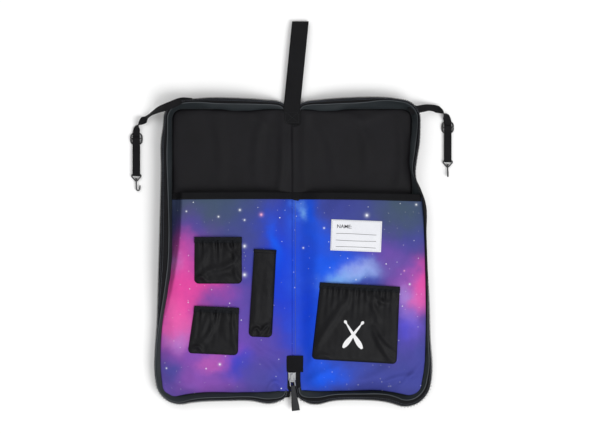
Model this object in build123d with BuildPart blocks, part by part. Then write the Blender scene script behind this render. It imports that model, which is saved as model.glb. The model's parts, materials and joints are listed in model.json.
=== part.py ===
"""Zip-up drum stick bag, laid open flat like a book.

Units are millimetres.  The origin is the centre of the spine's back face.  +X points to the right half, +Y to
the carrying handle and +Z up, out of the open bag.  Three rigid stretches of cloth, the left half, the spine
and the right half, are hinged along the two edges of the spine, so that the bag shuts with the spine as its
narrow side.  Parts of the two halves are made by functions of `side`, which is -1 for left and +1 for right.
"""

import os
from math import atan2, degrees, radians, tan

from build123d import *

LEFT, RIGHT = -1, 1
NAMES = {LEFT: "left", RIGHT: "right"}

# Driving dimensions of the case
PANEL_HEIGHT = 428.0  # back panel, along the sticks
HALF_WIDTH = 160.0  # back panel of one half, from its hinge line to its outer edge
CORNER_RADIUS = 18.0  # at the back face; the leaning wall widens it
RIM_HEIGHT = 28.0  # back face to the top of the zipper coil
WALL_LEAN = 33.0  # degrees that an open side wall leans out
SHELL, FOAM, LINING = 0.8, 2.4, 0.8  # layers of every panel
GAP = 0.4  # room between pieces that move past each other

# The hinge lines stand above the inner cloth of the spine, and the spine is as wide as the shut bag is thick
HINGE_Z = 6.0
SHUT_GAP = 1.0  # between the two zipper coils when the bag is shut
SPINE_WIDTH = 2 * (RIM_HEIGHT - HINGE_Z) + SHUT_GAP
HINGE_X = SPINE_WIDTH / 2
OUTER_X = HINGE_X + HALF_WIDTH
END_Y = PANEL_HEIGHT / 2
PANEL = SHELL + FOAM + LINING

# Side wall and zipper
WALL = 2.4
SEAM_Z = 16.5  # the gusset's top, where the zipper tape is sewn on
COIL_RADIUS = 1.5
COIL_Z = RIM_HEIGHT - COIL_RADIUS - 0.1
TAPE = 0.8
WALL_END_X = HINGE_X + 9.5  # the stiff wall stops short of the spine, to leave room for shutting
WALL_OVERRUN = 30.0  # how far past the hinge line the wall's outline is drawn before it is cut off

# Stick pocket, a shallow box of printed cloth over each half
POCKET_TOP_Z = 20.0
POCKET_MOUTH_Y = 86.0
POCKET_CLOTH = 0.9
POCKET_OVERRUN = 20.0  # how far past its mouth the pocket is drawn before it is cut off
STRIP = 0.8  # pocket cloth over the spine
BINDING = 0.8
BINDING_HEIGHT = 10.5

# Small pockets on the stick pocket
PATCH_TOP_Z = 25.0
PATCH_CLOTH = 0.6
PATCH_RUN = 3.0  # how much narrower a small pocket's front is than its base, on each closed side
PATCH_CORNER = 6.0
HEM_HEIGHT = 8.5
ELASTIC = 0.4
LABEL_WIDTH, LABEL_HEIGHT, LABEL_TURN = 76.0, 46.5, -2.2
LABEL_CLOTH, PRINT_INK = 0.4, 0.2

# Carrying handle: a loop of wide webbing whose two ends are sewn down inside the spine's upper end
HANDLE_WIDTH = 25.0
HANDLE_WEBBING = 1.2
HANDLE_REACH = 128.0  # from its pivot to the fold of the loop
HANDLE_TURN = -5.7  # degrees it lies askew
HANDLE_Y = END_Y + 3.0
HANDLE_Z = 6.2
BACKING = 0.8
BACKING_LENGTH = 28.5  # from the spine's upper end down to the rounded end of the backing patch
TAIL_LENGTH = 25.0
TAIL_START = 9.0  # from the pivot to where the loop's two layers part

# The shut end of the zipper, laid over the spine's lower end
CHAIN_Z = 6.4  # underside of the tape there
CHAIN_TAPE = 0.7
CHAIN_COIL = 0.9
CHAIN_TOP = CHAIN_Z + CHAIN_TAPE + CHAIN_COIL
CHAIN_WIDTH = 26.0
CHAIN_END_Y = -160.0
CHAIN_ROOT = 18.0  # length of the thick sewn end of the tape
COIL_ROW = 2.2  # width of one row of coil
COIL_PARTING = 3.2  # gap between the two rows below the slider
END_PATCH_WIDTH, END_PATCH_HEIGHT = 27.0, 24.8
SLIDER_Y = -191.5
SLIDER_PLATE = 1.1
SLIDER_ROOM = 0.3  # between the slider and the tape
PULL_Y = SLIDER_Y - 2.4
PULL_Z = CHAIN_TOP + 2.45
PULL_TURN = 7.0  # degrees the pull lies askew

# Straps for hanging the bag on a floor tom.  From its pivot the main webbing runs over the adjuster's flat
# frame and into the doubled webbing, where its tail can slide.
WEBBING_WIDTH = 11.0
WEBBING = 0.8
WIRE = 2.0  # diameter of the adjuster, the triangular loop and the hook
TABLE_GAP = 0.3  # between the table and the lowest parts
ADJUSTER_SIZE = 19.0
TAB_TOP_Z = 24.0
STRAP_X = 234.6  # middle of a strap's straight end
HOOK_DROP = 22.5  # from the fold of the doubled webbing to the end of the hook
FRAME_Z = TABLE_GAP + WIRE / 2  # centre line of the adjuster's frame
STRAP_Z = TABLE_GAP + WIRE + GAP - 0.1  # underside of the main webbing
UPPER_Z = STRAP_Z + WEBBING + GAP  # underside of the doubled webbing's upper layer
TRIANGLE_Z = (TABLE_GAP + WEBBING + UPPER_Z) / 2  # centre line of the triangular loop
BAR_Z = UPPER_Z + WEBBING + WIRE / 2  # centre line of the adjuster's middle bar

os.makedirs("parts", exist_ok=True)


def save(piece, name):
    """Labels a finished piece and writes it as parts/NAME.step."""
    piece.part.label = name
    export_step(piece.part, f"parts/{name}.step")


def lean_out(z):
    """How far a leaning wall has moved out at height z."""
    return z * tan(radians(WALL_LEAN))


def half_outline(side, grow=0.0, inner_x=HINGE_X + GAP):
    """Adds the outline of one half to the current sketch: its two outer corners are round."""
    width = OUTER_X + grow - inner_x
    with Locations((side * (inner_x + width / 2), 0)):
        Rectangle(width, PANEL_HEIGHT + 2 * grow)
    outer_corners = vertices().group_by(Axis.X)[-1 if side > 0 else 0]
    fillet(outer_corners, CORNER_RADIUS + grow)


def leaning_band(side, z_low, z_high, thickness, set_in=0.0):
    """A U-shaped band of the leaning wall between two heights, open towards the spine."""
    with BuildPart() as band:
        for inset, mode in ((set_in, Mode.ADD), (set_in + thickness, Mode.SUBTRACT)):
            for z in (z_low, z_high):
                with BuildSketch(Plane.XY.offset(z)):
                    half_outline(side, lean_out(z) - inset, inner_x=HINGE_X - WALL_OVERRUN)
            loft(ruled=True, mode=mode)
        split(bisect_by=Plane.YZ.offset(side * WALL_END_X), keep=Keep.TOP if side > 0 else Keep.BOTTOM)
    return band


def make_panels(side):
    """Outer shell, foam and lining of one half.  The foam and the lining stop inside the gusset."""
    layers = (
        ("shell", 0.0, SHELL, 0.0),
        ("foam", SHELL, FOAM, -WALL),
        ("lining", SHELL + FOAM, LINING, -WALL),
    )
    for layer, z, thickness, grow in layers:
        with BuildPart() as panel:
            with BuildSketch(Plane.XY.offset(z)):
                half_outline(side, grow)
            extrude(amount=thickness)
        save(panel, f"{NAMES[side]}_{layer}")


def make_walls(side):
    """Gusset, zipper tape and zipper coil round the three outer sides of one half."""
    save(leaning_band(side, SHELL, SEAM_Z, WALL), f"{NAMES[side]}_gusset")
    tape_inset = (WALL - TAPE) / 2
    save(leaning_band(side, SEAM_Z, COIL_Z - COIL_RADIUS, TAPE, tape_inset), f"{NAMES[side]}_zipper_tape")

    grow = lean_out(COIL_Z) - WALL / 2
    corner = CORNER_RADIUS + grow
    x_out, y_out = OUTER_X + grow, END_Y + grow
    with BuildPart() as coil:
        with BuildLine(Plane.XY.offset(COIL_Z)) as rim:
            FilletPolyline(
                (side * WALL_END_X, y_out),
                (side * x_out, y_out),
                (side * x_out, -y_out),
                (side * WALL_END_X, -y_out),
                radius=corner,
            )
        with BuildSketch(Plane(rim.line @ 0, z_dir=rim.line % 0)):
            Circle(COIL_RADIUS)
        sweep()
    save(coil, f"{NAMES[side]}_zipper_coil")


def pocket_block(side, grow=0.0):
    """The tapered block that a stick pocket encloses, grown outwards, and too long at its mouth."""
    base = dict(x_in=HINGE_X + 1.5, x_out=OUTER_X - 3.5, y_low=-END_Y + 3.5, corner=14.0)
    top = dict(x_in=HINGE_X + 3.0, x_out=OUTER_X - 10.5, y_low=-END_Y + 11.0, corner=18.0)
    with BuildPart() as block:
        for z, level in ((PANEL, base), (POCKET_TOP_Z + grow, top)):
            x_in, x_out = level["x_in"] - grow, level["x_out"] + grow
            y_low, y_high = level["y_low"] - grow, POCKET_MOUTH_Y + POCKET_OVERRUN
            with BuildSketch(Plane.XY.offset(z)):
                with Locations((side * (x_in + x_out) / 2, (y_low + y_high) / 2)):
                    Rectangle(x_out - x_in, y_high - y_low)
                outer_corner = vertices().group_by(Axis.Y)[0].sort_by(Axis.X)[-1 if side > 0 else 0]
                fillet(outer_corner, level["corner"] + grow)
        loft(ruled=True)
    return block.part


def make_stick_pocket(side):
    """Printed pocket and the black binding round its mouth."""
    mouth = Plane.XZ.offset(-POCKET_MOUTH_Y)
    outside, inside = pocket_block(side), pocket_block(side, -POCKET_CLOTH)
    round_binding = pocket_block(side, BINDING)
    with BuildPart() as pocket:
        add(outside)
        add(inside, mode=Mode.SUBTRACT)
        split(bisect_by=mouth, keep=Keep.TOP)
    save(pocket, f"{NAMES[side]}_stick_pocket")

    with BuildPart() as binding:
        add(round_binding)
        add(outside, mode=Mode.SUBTRACT)
        split(bisect_by=mouth, keep=Keep.TOP)
        split(bisect_by=Plane.XZ.offset(BINDING_HEIGHT - POCKET_MOUTH_Y), keep=Keep.BOTTOM)
    save(binding, f"{NAMES[side]}_pocket_binding")


def patch_block(width, height, grow=0.0):
    """The tapered block that a small pocket encloses, with its mouth at y = height / 2."""
    with BuildPart() as block:
        for z, narrower in ((POCKET_TOP_Z, 0.0), (PATCH_TOP_Z + grow, PATCH_RUN)):
            low = -height / 2 + narrower - grow
            with BuildSketch(Plane.XY.offset(z)):
                with Locations((0, (low + height) / 2)):
                    Rectangle(width - 2 * narrower + 2 * grow, height - low)
                fillet(vertices().group_by(Axis.Y)[0], PATCH_CORNER + grow)
        loft(ruled=True)
    return block.part


def make_patch_pocket(name, center, width, height, turn=0.0, elastic=True):
    """A small pocket sewn on the stick pocket, open towards +Y, with a hem and, if gathered, its elastic."""
    place = Location((center[0], center[1], 0), (0, 0, turn))
    outside, inside = patch_block(width, height), patch_block(width, height, -PATCH_CLOTH)
    with BuildPart() as pocket:
        add(outside)
        add(inside, mode=Mode.SUBTRACT)
        split(bisect_by=Plane.XZ.offset(-height / 2), keep=Keep.TOP)
    pocket.part.location = place
    save(pocket, name)

    flat_width = width - 2 * PATCH_RUN - 2
    hem_z = PATCH_TOP_Z
    if elastic:
        with BuildPart() as band:
            with BuildSketch(Plane.XY.offset(PATCH_TOP_Z)):
                with Locations((0, height / 2 - HEM_HEIGHT / 2)):
                    Rectangle(flat_width, HEM_HEIGHT - 3)
            extrude(amount=ELASTIC)
        band.part.location = place
        save(band, f"{name}_elastic")
        hem_z += ELASTIC
    with BuildPart() as hem:
        with BuildSketch(Plane.XY.offset(hem_z)):
            with Locations((0, height / 2 - HEM_HEIGHT / 2)):
                Rectangle(flat_width + 1, HEM_HEIGHT)
        extrude(amount=PATCH_CLOTH)
    hem.part.location = place
    save(hem, f"{name}_hem")


def make_name_label(center):
    """Sewn-on label with room to write the owner's name."""
    with BuildPart() as label:
        with BuildSketch(Plane.XY.offset(POCKET_TOP_Z)):
            with Locations(Location((center[0], center[1], 0), (0, 0, LABEL_TURN))):
                RectangleRounded(LABEL_WIDTH, LABEL_HEIGHT, 1.0)
        extrude(amount=LABEL_CLOTH)
    save(label, "name_label")


def make_sticks_print(center):
    """Transfer print on the large pocket: two crossed drum sticks."""
    length, shaft, tip = 46.0, 4.4, 3.4
    with BuildPart() as emblem:
        with BuildSketch(Plane.XY.offset(PATCH_TOP_Z)):
            for angle in (55.0, 125.0):
                with Locations(Location((center[0], center[1], 0), (0, 0, angle))):
                    SlotOverall(length, shaft)
                    with Locations((length / 2 - tip / 2, 0)):
                        Ellipse(tip * 1.3, tip)
        extrude(amount=PRINT_INK)
    save(emblem, "crossed_sticks_print")


def spine_plate(z, thickness, width, y_low, y_high):
    """A flat rectangle of cloth on the spine."""
    with BuildPart() as plate:
        with BuildSketch(Plane.XY.offset(z)):
            with Locations((0, (y_low + y_high) / 2)):
                Rectangle(width, y_high - y_low)
        extrude(amount=thickness)
    return plate


def make_spine():
    """The spine's three layers, the strip of pocket cloth over them, and its stretch of binding."""
    width = SPINE_WIDTH - 2 * GAP
    save(spine_plate(0, SHELL, width, -END_Y, END_Y), "spine_shell")
    save(spine_plate(SHELL, FOAM, width, -END_Y, END_Y), "spine_foam")
    save(spine_plate(SHELL + FOAM, LINING, width, -END_Y, END_Y), "spine_lining")
    save(spine_plate(PANEL, STRIP, width, -END_Y + 2, POCKET_MOUTH_Y), "spine_pocket_strip")
    binding_low = POCKET_MOUTH_Y - BINDING_HEIGHT
    save(spine_plate(PANEL + STRIP, BINDING, width, binding_low, POCKET_MOUTH_Y), "spine_pocket_binding")

    flap_reach = 15.0  # how far the gusset's laid-out ends stick out past the spine's lower edge
    with BuildPart() as ends:
        with BuildSketch(Plane.XY.offset(SHELL)):
            for side in (LEFT, RIGHT):
                with Locations((side * 12.0, -END_Y - flap_reach / 2)):
                    Rectangle(18.0, flap_reach)
            fillet(vertices().group_by(Axis.Y)[0], 7.0)
        extrude(amount=WALL)
    save(ends, "spine_gusset_ends")


def make_handle():
    """Backing patch, sewn-down tails and the free loop, which is a little open."""
    patch_low, tail_low = END_Y - BACKING_LENGTH, END_Y - TAIL_LENGTH
    with BuildPart() as patch:
        with BuildSketch(Plane.XY.offset(PANEL)):
            with Locations((0, (patch_low + END_Y) / 2)):
                Rectangle(HANDLE_WIDTH + 4, END_Y - patch_low)
            fillet(vertices().group_by(Axis.Y)[0], 9.0)
        extrude(amount=BACKING)
    save(patch, "handle_patch")

    with BuildPart() as tails:
        with BuildSketch(Plane.XY.offset(PANEL + BACKING)):
            with Locations((0, (tail_low + END_Y) / 2)):
                Rectangle(HANDLE_WIDTH, END_Y - tail_low)
            fillet(vertices().group_by(Axis.Y)[0], 8.0)
        extrude(amount=2 * HANDLE_WEBBING)
    save(tails, "handle_tails")

    floor, crown, fold_height = GAP + HANDLE_WEBBING, 9.5, 4.6
    straight_end = HANDLE_REACH - HANDLE_WEBBING - fold_height / 2
    with BuildSketch(Plane.YZ) as hollow:
        with BuildLine():
            lower = Polyline((TAIL_START, HANDLE_Z - GAP), (24.0, floor), (straight_end, floor))
            fold_middle = (straight_end + fold_height / 2, floor + fold_height / 2)
            fold = ThreePointArc(lower @ 1, fold_middle, (straight_end, floor + fold_height))
            upper = ThreePointArc(fold @ 1, (HANDLE_REACH * 0.55, crown), (TAIL_START, HANDLE_Z + GAP))
            Line(upper @ 1, lower @ 0)
        make_face()
    with BuildPart() as loop:
        with BuildSketch(Plane.YZ):
            add(hollow.sketch_local)
            offset(amount=HANDLE_WEBBING)
            add(hollow.sketch_local, mode=Mode.SUBTRACT)
            with Locations((TAIL_START / 2 + 0.3, HANDLE_Z)):
                Rectangle(TAIL_START - 1.0, 2 * HANDLE_WEBBING)
        extrude(amount=HANDLE_WIDTH / 2, both=True)
    loop.part.location = Location((0, HANDLE_Y, 0), (0, 0, HANDLE_TURN))
    save(loop, "handle_loop")


def make_zipper_end():
    """Tapes and coil of the shut end, which part below the slider, and the patch over their sewn end."""
    tape_end_y = -END_Y + 1.0
    part_y = SLIDER_Y - 1.5  # where the two rows of coil part
    patch_low = -183.8
    with BuildPart() as tape:
        with BuildSketch(Plane.XY.offset(CHAIN_Z)):
            with Locations((0, (CHAIN_END_Y + tape_end_y) / 2)):
                Rectangle(CHAIN_WIDTH, CHAIN_END_Y - tape_end_y)
            with Locations((0, (part_y + tape_end_y) / 2)):
                Rectangle(COIL_PARTING, part_y - tape_end_y, mode=Mode.SUBTRACT)
        extrude(amount=CHAIN_TAPE)
        with BuildSketch(Plane.XY.offset(PANEL + STRIP)):
            with Locations((0, CHAIN_END_Y - CHAIN_ROOT / 2)):
                Rectangle(CHAIN_WIDTH, CHAIN_ROOT)
        extrude(amount=CHAIN_Z - PANEL - STRIP)
    save(tape, "zipper_end_tape")

    meshed_y, row_y = patch_low - 0.2, part_y + 1.0
    with BuildPart() as coil:
        with BuildSketch(Plane.XY.offset(CHAIN_Z + CHAIN_TAPE)):
            with Locations((0, (meshed_y + part_y) / 2)):
                Rectangle(2 * COIL_ROW, meshed_y - part_y)
            for side in (LEFT, RIGHT):
                with Locations((side * (COIL_PARTING + COIL_ROW) / 2, (row_y + tape_end_y) / 2)):
                    Rectangle(COIL_ROW, row_y - tape_end_y)
        extrude(amount=CHAIN_COIL)
    save(coil, "zipper_end_coil")

    with BuildPart() as patch:
        with BuildSketch(Plane.XY.offset(CHAIN_Z + CHAIN_TAPE)):
            with Locations((0, patch_low + END_PATCH_HEIGHT / 2)):
                RectangleRounded(END_PATCH_WIDTH, END_PATCH_HEIGHT, 1.0)
        extrude(amount=CHAIN_COIL)
    save(patch, "zipper_end_patch")


def make_slider():
    """Slider with two plates, side flanges, the post that parts the coil, and the bridge for the pull."""
    lower_z, upper_z = CHAIN_Z - SLIDER_ROOM - SLIDER_PLATE, CHAIN_TOP + 0.25
    flange_z = CHAIN_Z + CHAIN_TAPE + SLIDER_ROOM
    bridge_z = upper_z + SLIDER_PLATE
    with BuildPart() as slider:
        for z in (lower_z, upper_z):
            with BuildSketch(Plane.XY.offset(z)):
                with Locations((0, SLIDER_Y)):
                    Trapezoid(11.5, 14.0, 80, rotation=180)
            extrude(amount=SLIDER_PLATE)
        with BuildSketch(Plane.XY.offset(flange_z)):
            with Locations((-4.9, SLIDER_Y), (4.9, SLIDER_Y)):
                Rectangle(0.8, 9.0)
        extrude(amount=upper_z - flange_z)
        with BuildSketch(Plane.XY.offset(lower_z)):
            with Locations((0, SLIDER_Y - 4.2)):
                Rectangle(1.6, 2.6)
        extrude(amount=bridge_z - lower_z)
        with BuildSketch(Plane.YZ) as bridge:
            with Locations((SLIDER_Y, bridge_z)):
                Rectangle(10.8, 3.3, align=(Align.CENTER, Align.MIN))
            fillet(vertices().group_by(Axis.Y)[-1], 1.8)
            with Locations((SLIDER_Y, bridge_z)):
                Rectangle(7.4, 2.2, align=(Align.CENTER, Align.MIN), mode=Mode.SUBTRACT)
        extrude(amount=1.5, both=True)
    save(slider, "slider")


def make_pull():
    """A wire link that hangs in the slider's bridge, and the cloth tab folded through it."""
    place = Location((0, PULL_Y, PULL_Z), (0, 0, PULL_TURN))
    wire, link_length, tab_length, tab_cloth = 1.5, 12.6, 38.0, 0.8
    with BuildPart() as link:
        with BuildSketch(Plane.XY.offset(-wire / 2)):
            with Locations((0, (wire - link_length) / 2)):
                RectangleRounded(8.6, link_length, 2.2)
                RectangleRounded(8.6 - 2 * wire, link_length - 2 * wire, 0.9, mode=Mode.SUBTRACT)
        extrude(amount=wire)
        chamfer(edges().group_by(Axis.Z)[-1], 0.3)
    link.part.location = place
    save(link, "pull_link")

    fold_y, eye = wire - link_length, wire / 2 + 0.3
    with BuildPart() as tab:
        with BuildSketch(Plane.YZ):
            with BuildLine():
                upper = Line((fold_y - tab_length, eye), (fold_y, eye))
                fold = RadiusArc(upper @ 1, (fold_y, -eye), eye)
                Polyline(fold @ 1, (fold_y - tab_length, -eye), upper @ 0)
            make_face()
            offset(amount=tab_cloth)
            with Locations((fold_y - 1.6, 0)):
                SlotCenterToCenter(3.2, 2 * eye, mode=Mode.SUBTRACT)
        extrude(amount=6.0, both=True)
        with BuildSketch(Plane.XY.offset(-5.0)):
            with BuildLine():
                end_y = fold_y - tab_length - 2.0
                Polyline((-1.9, fold_y + 4.0), (1.9, fold_y + 4.0), (6.0, end_y), (-6.0, end_y), close=True)
            make_face()
        extrude(amount=10.0, mode=Mode.INTERSECT)
    tab.part.location = place
    save(tab, "pull_tab")


def make_strap_tab(side, pivot):
    """Webbing sewn on the outside of the wall's corner, under the zipper, down to the strap's pivot."""
    corner_center = Vector(side * (OUTER_X - CORNER_RADIUS), END_Y - CORNER_RADIUS)
    outward = Vector(*pivot) - corner_center
    root_distance = CORNER_RADIUS + lean_out(TAB_TOP_Z) + 0.4
    run = outward.length - root_distance
    root = corner_center + outward.normalized() * root_distance
    heading = degrees(atan2(outward.Y, outward.X))
    end_z = STRAP_Z + WEBBING + GAP + WEBBING / 2
    flat_top = [(0, TAB_TOP_Z), (3.0, TAB_TOP_Z)]
    flat_end = [(run - 6.0, end_z), (run + 4.0, end_z)]
    with BuildPart() as tab:
        with BuildSketch(Plane.XZ):
            with BuildLine():
                FilletPolyline(*flat_top, *flat_end, radius=1.5)
            trace(line_width=WEBBING)
        extrude(amount=WEBBING_WIDTH / 2, both=True)
    tab.part.location = Location((root.X, root.Y, 0), (0, 0, heading))
    save(tab, f"{NAMES[side]}_strap_tab")


def make_strap(side, route, radii):
    """The main webbing, from its pivot at the route's first point to the free end of its tail."""
    with BuildPart() as strap:
        with BuildSketch(Plane.XY.offset(STRAP_Z)):
            with BuildLine():
                FilletPolyline(*route, radius=radii)
            trace(line_width=WEBBING_WIDTH)
            with Locations(route[0]):
                Circle(WEBBING_WIDTH / 2)
        extrude(amount=WEBBING)
    save(strap, f"{NAMES[side]}_strap")


def make_adjuster(side, x, y):
    """Wire adjuster: a flat rounded frame and a raised middle bar."""
    reach = (ADJUSTER_SIZE - WIRE) / 2
    with BuildPart() as adjuster:
        with BuildLine(Plane.XY.offset(FRAME_Z)) as frame:
            far_corners = [(x - reach, y + reach), (x + reach, y + reach)]
            near_corners = [(x + reach, y - reach), (x - reach, y - reach)]
            FilletPolyline(*far_corners, *near_corners, radius=6.0, close=True)
        with BuildSketch(Plane(frame.line @ 0, z_dir=frame.line % 0)):
            Circle(WIRE / 2)
        sweep()
        with BuildLine(Plane.XZ.offset(-y)) as bar:
            foot, shoulder = reach - 0.1, reach - 1.2
            left_end = [(x - foot, FRAME_Z - 0.3), (x - shoulder, BAR_Z)]
            right_end = [(x + shoulder, BAR_Z), (x + foot, FRAME_Z - 0.3)]
            FilletPolyline(*left_end, *right_end, radius=1.5)
        with BuildSketch(Plane(bar.line @ 0, z_dir=bar.line % 0)):
            Circle(WIRE / 2)
        sweep()
    save(adjuster, f"{NAMES[side]}_adjuster")


def make_doubled_webbing(side, x, bar_y, fold_y):
    """Webbing folded round the adjuster's middle bar at one end and the triangular loop at the other."""
    bend = TRIANGLE_Z - TABLE_GAP
    wrap = WIRE / 2 + 0.05
    lower_end = bar_y - ADJUSTER_SIZE / 2 - 1.0
    lower_z, upper_z = TABLE_GAP + WEBBING / 2, UPPER_Z + WEBBING / 2
    with BuildPart() as webbing:
        with BuildSketch(Plane.YZ.offset(x - WEBBING_WIDTH / 2)):
            with BuildLine():
                under = Line((lower_end, lower_z), (fold_y + bend, lower_z))
                fold = ThreePointArc(under @ 1, (fold_y + WEBBING / 2, TRIANGLE_Z), (fold_y + bend, upper_z))
                Polyline(fold @ 1, (bar_y - 9.0, upper_z), (bar_y - 1.0, BAR_Z + wrap + WEBBING / 2 - 0.1))
            trace(line_width=WEBBING)
            with Locations((bar_y, BAR_Z)):
                Circle(wrap + WEBBING)
                Circle(wrap, mode=Mode.SUBTRACT)
        extrude(amount=WEBBING_WIDTH)
    save(webbing, f"{NAMES[side]}_doubled_webbing")


def make_triangle_loop(side, x, bar_y, eye_y):
    """Triangular wire loop that narrows to the collar in which the hook turns."""
    half_width, neck, collar = 6.8, 1.8, 2.1
    with BuildPart() as triangle:
        with BuildLine(Plane.XY.offset(TRIANGLE_Z)) as outline:
            right_corners = [(x + half_width, bar_y), (x + half_width, bar_y - 2.8), (x + neck, eye_y)]
            left_corners = [(x - neck, eye_y), (x - half_width, bar_y - 2.8), (x - half_width, bar_y)]
            FilletPolyline(*right_corners, *left_corners, radius=1.4, close=True)
        with BuildSketch(Plane(outline.line @ 0, z_dir=outline.line % 0)):
            Circle(WIRE / 2)
        sweep()
        with BuildSketch(Plane.XZ.offset(-eye_y - 1.2)):
            with Locations((x, TRIANGLE_Z)):
                Circle(collar)
        extrude(amount=2.6)
        with BuildSketch(Plane.XZ.offset(-eye_y - 1.6)):
            with Locations((x, TRIANGLE_Z)):
                Circle(WIRE / 2 + GAP)
        extrude(amount=3.4, mode=Mode.SUBTRACT)
    save(triangle, f"{NAMES[side]}_triangle_loop")


def make_hook(side, x, eye_y, end_y, plane):
    """J hook, drawn in its own plane, with a headed shank that turns in the loop's collar."""
    bend = 2.6
    turn_y = end_y + WIRE / 2 + bend
    with BuildPart() as hook:
        with BuildLine(plane) as path:
            shank = Line((0, eye_y + 2.5), (0, turn_y))
            turn = ThreePointArc(shank @ 1, (bend, turn_y - bend), (2 * bend, turn_y))
            Line(turn @ 1, (2 * bend + 0.5, turn_y + 5.0))
        with BuildSketch(Plane(path.line @ 0, z_dir=path.line % 0)):
            Circle(WIRE / 2)
        sweep()
        with BuildSketch(Plane.XZ.offset(-eye_y - 3.4)):
            with Locations((x, TRIANGLE_Z)):
                Circle(1.8)
        extrude(amount=1.6)
    save(hook, f"{NAMES[side]}_hook")


def make_hanging_strap(side, route, radii, x, adjuster_y, fold_y, hook_plane):
    """One whole strap, from its tab on the bag to its hook."""
    triangle_bar_y = fold_y + TRIANGLE_Z - TABLE_GAP
    eye_y = triangle_bar_y - 8.5
    make_strap_tab(side, route[0])
    make_strap(side, route, radii)
    make_adjuster(side, x, adjuster_y)
    make_doubled_webbing(side, x, adjuster_y, fold_y)
    make_triangle_loop(side, x, triangle_bar_y, eye_y)
    make_hook(side, x, eye_y, fold_y - HOOK_DROP, hook_plane)


# The whole bag
for half in (LEFT, RIGHT):
    make_panels(half)
    make_walls(half)
    make_stick_pocket(half)
make_spine()
make_handle()
make_zipper_end()
make_slider()
make_pull()

make_patch_pocket("upper_pocket", (-109.0, -15.5), 70.5, 69.5)
make_patch_pocket("lower_pocket", (-114.0, -120.5), 73.0, 71.5, turn=-2.5)
make_patch_pocket("pen_pocket", (-46.5, -65.0), 34.5, 131.5, turn=-2.4, elastic=False)
make_patch_pocket("large_pocket", (98.5, -109.5), 124.0, 116.5, turn=-3.2)
make_sticks_print((92.0, -125.5))
make_name_label((96.0, 21.5))

# The left hook lies flat and the right one stands on its edge
make_hanging_strap(
    LEFT,
    ((-211.0, 206.0), (-222.5, 197.0), (-232.0, 187.5), (-STRAP_X, 177.0), (-STRAP_X, 120.0)),
    (20.0, 18.0, 18.0),
    x=-STRAP_X,
    adjuster_y=167.4,
    fold_y=111.0,
    hook_plane=Plane((-STRAP_X, 0, TRIANGLE_Z)),
)
make_hanging_strap(
    RIGHT,
    ((211.0, 213.5), (222.0, 210.5), (231.0, 202.5), (STRAP_X, 192.5), (STRAP_X, 141.0)),
    (16.0, 16.0, 16.0),
    x=STRAP_X,
    adjuster_y=184.5,
    fold_y=132.0,
    hook_plane=Plane((STRAP_X, 0, TRIANGLE_Z), x_dir=(0, 0, 1), z_dir=(-1, 0, 0)),
)
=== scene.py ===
# %% [markdown]
# # A zip-up drum stick bag, laid open like a book
# The bag is black cloth over thin foam, with a printed pocket for the sticks, four small pockets, a webbing
# handle and two hanging straps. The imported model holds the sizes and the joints. This script hides the plain
# solids of the soft parts and sews the cloth in their place. Lengths are written in millimetres and turned
# into metres when a mesh is made. +X points to the right half, +Y to the handle and +Z up.

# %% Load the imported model
import json
from math import cos, pi, radians, sin

import bpy
import numpy as np
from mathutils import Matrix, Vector


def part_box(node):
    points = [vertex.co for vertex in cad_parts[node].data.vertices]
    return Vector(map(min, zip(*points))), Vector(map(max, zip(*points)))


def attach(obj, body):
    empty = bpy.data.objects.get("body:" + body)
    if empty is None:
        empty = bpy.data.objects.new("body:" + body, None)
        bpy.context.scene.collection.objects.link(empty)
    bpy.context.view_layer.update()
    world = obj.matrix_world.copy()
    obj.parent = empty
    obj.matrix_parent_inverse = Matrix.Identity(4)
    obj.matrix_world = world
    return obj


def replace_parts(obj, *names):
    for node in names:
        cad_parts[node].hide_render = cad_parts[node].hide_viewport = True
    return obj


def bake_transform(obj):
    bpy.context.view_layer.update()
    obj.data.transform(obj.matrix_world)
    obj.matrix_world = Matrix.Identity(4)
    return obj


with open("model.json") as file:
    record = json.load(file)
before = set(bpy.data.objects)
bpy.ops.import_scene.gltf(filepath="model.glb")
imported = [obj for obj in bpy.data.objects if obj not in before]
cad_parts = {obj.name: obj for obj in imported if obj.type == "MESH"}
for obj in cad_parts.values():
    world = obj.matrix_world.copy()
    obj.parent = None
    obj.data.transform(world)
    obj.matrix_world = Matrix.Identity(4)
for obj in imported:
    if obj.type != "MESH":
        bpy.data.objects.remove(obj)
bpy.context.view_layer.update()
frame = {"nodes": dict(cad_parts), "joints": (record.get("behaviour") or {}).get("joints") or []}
MM = 0.001
LEFT, RIGHT = -1, 1
NAMES = {LEFT: "left", RIGHT: "right"}

# %% [markdown]
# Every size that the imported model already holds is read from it, so that the cloth keeps to the same bag.
# A node's box gives its lowest and highest corner.

# %% Sizes of the case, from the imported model
def box_mm(node):
    """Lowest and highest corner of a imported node, in millimetres."""
    low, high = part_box(node)
    return np.array(low) / MM, np.array(high) / MM


def joint_mm(name):
    """The pivot of a joint, in millimetres."""
    return next(np.array(joint["pos_m"]) / MM for joint in frame["joints"] if joint["name"] == name)


OUTER_X = box_mm("right_shell")[1][0]  # outer edge of the back panel
END_Y = box_mm("right_shell")[1][1]  # its upper and lower ends
FOAM_TOP = box_mm("right_foam")[1][2]
LINING_TOP = box_mm("right_lining")[1][2]
HINGE_X, _, HINGE_Z = joint_mm("right_half_fold")
PLATEAU_Z = box_mm("right_stick_pocket")[1][2]  # top of the stick pocket
MOUTH_Y = box_mm("right_stick_pocket")[1][1]
RIM_Z = box_mm("right_zipper_coil")[1][2]
CORNER = 18.0  # radius of the back panel's outer corners
print(f"outer edge {OUTER_X:.1f}, ends {END_Y:.1f}, rim {RIM_Z:.1f}, hinge at {HINGE_X:.1f}")

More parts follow.
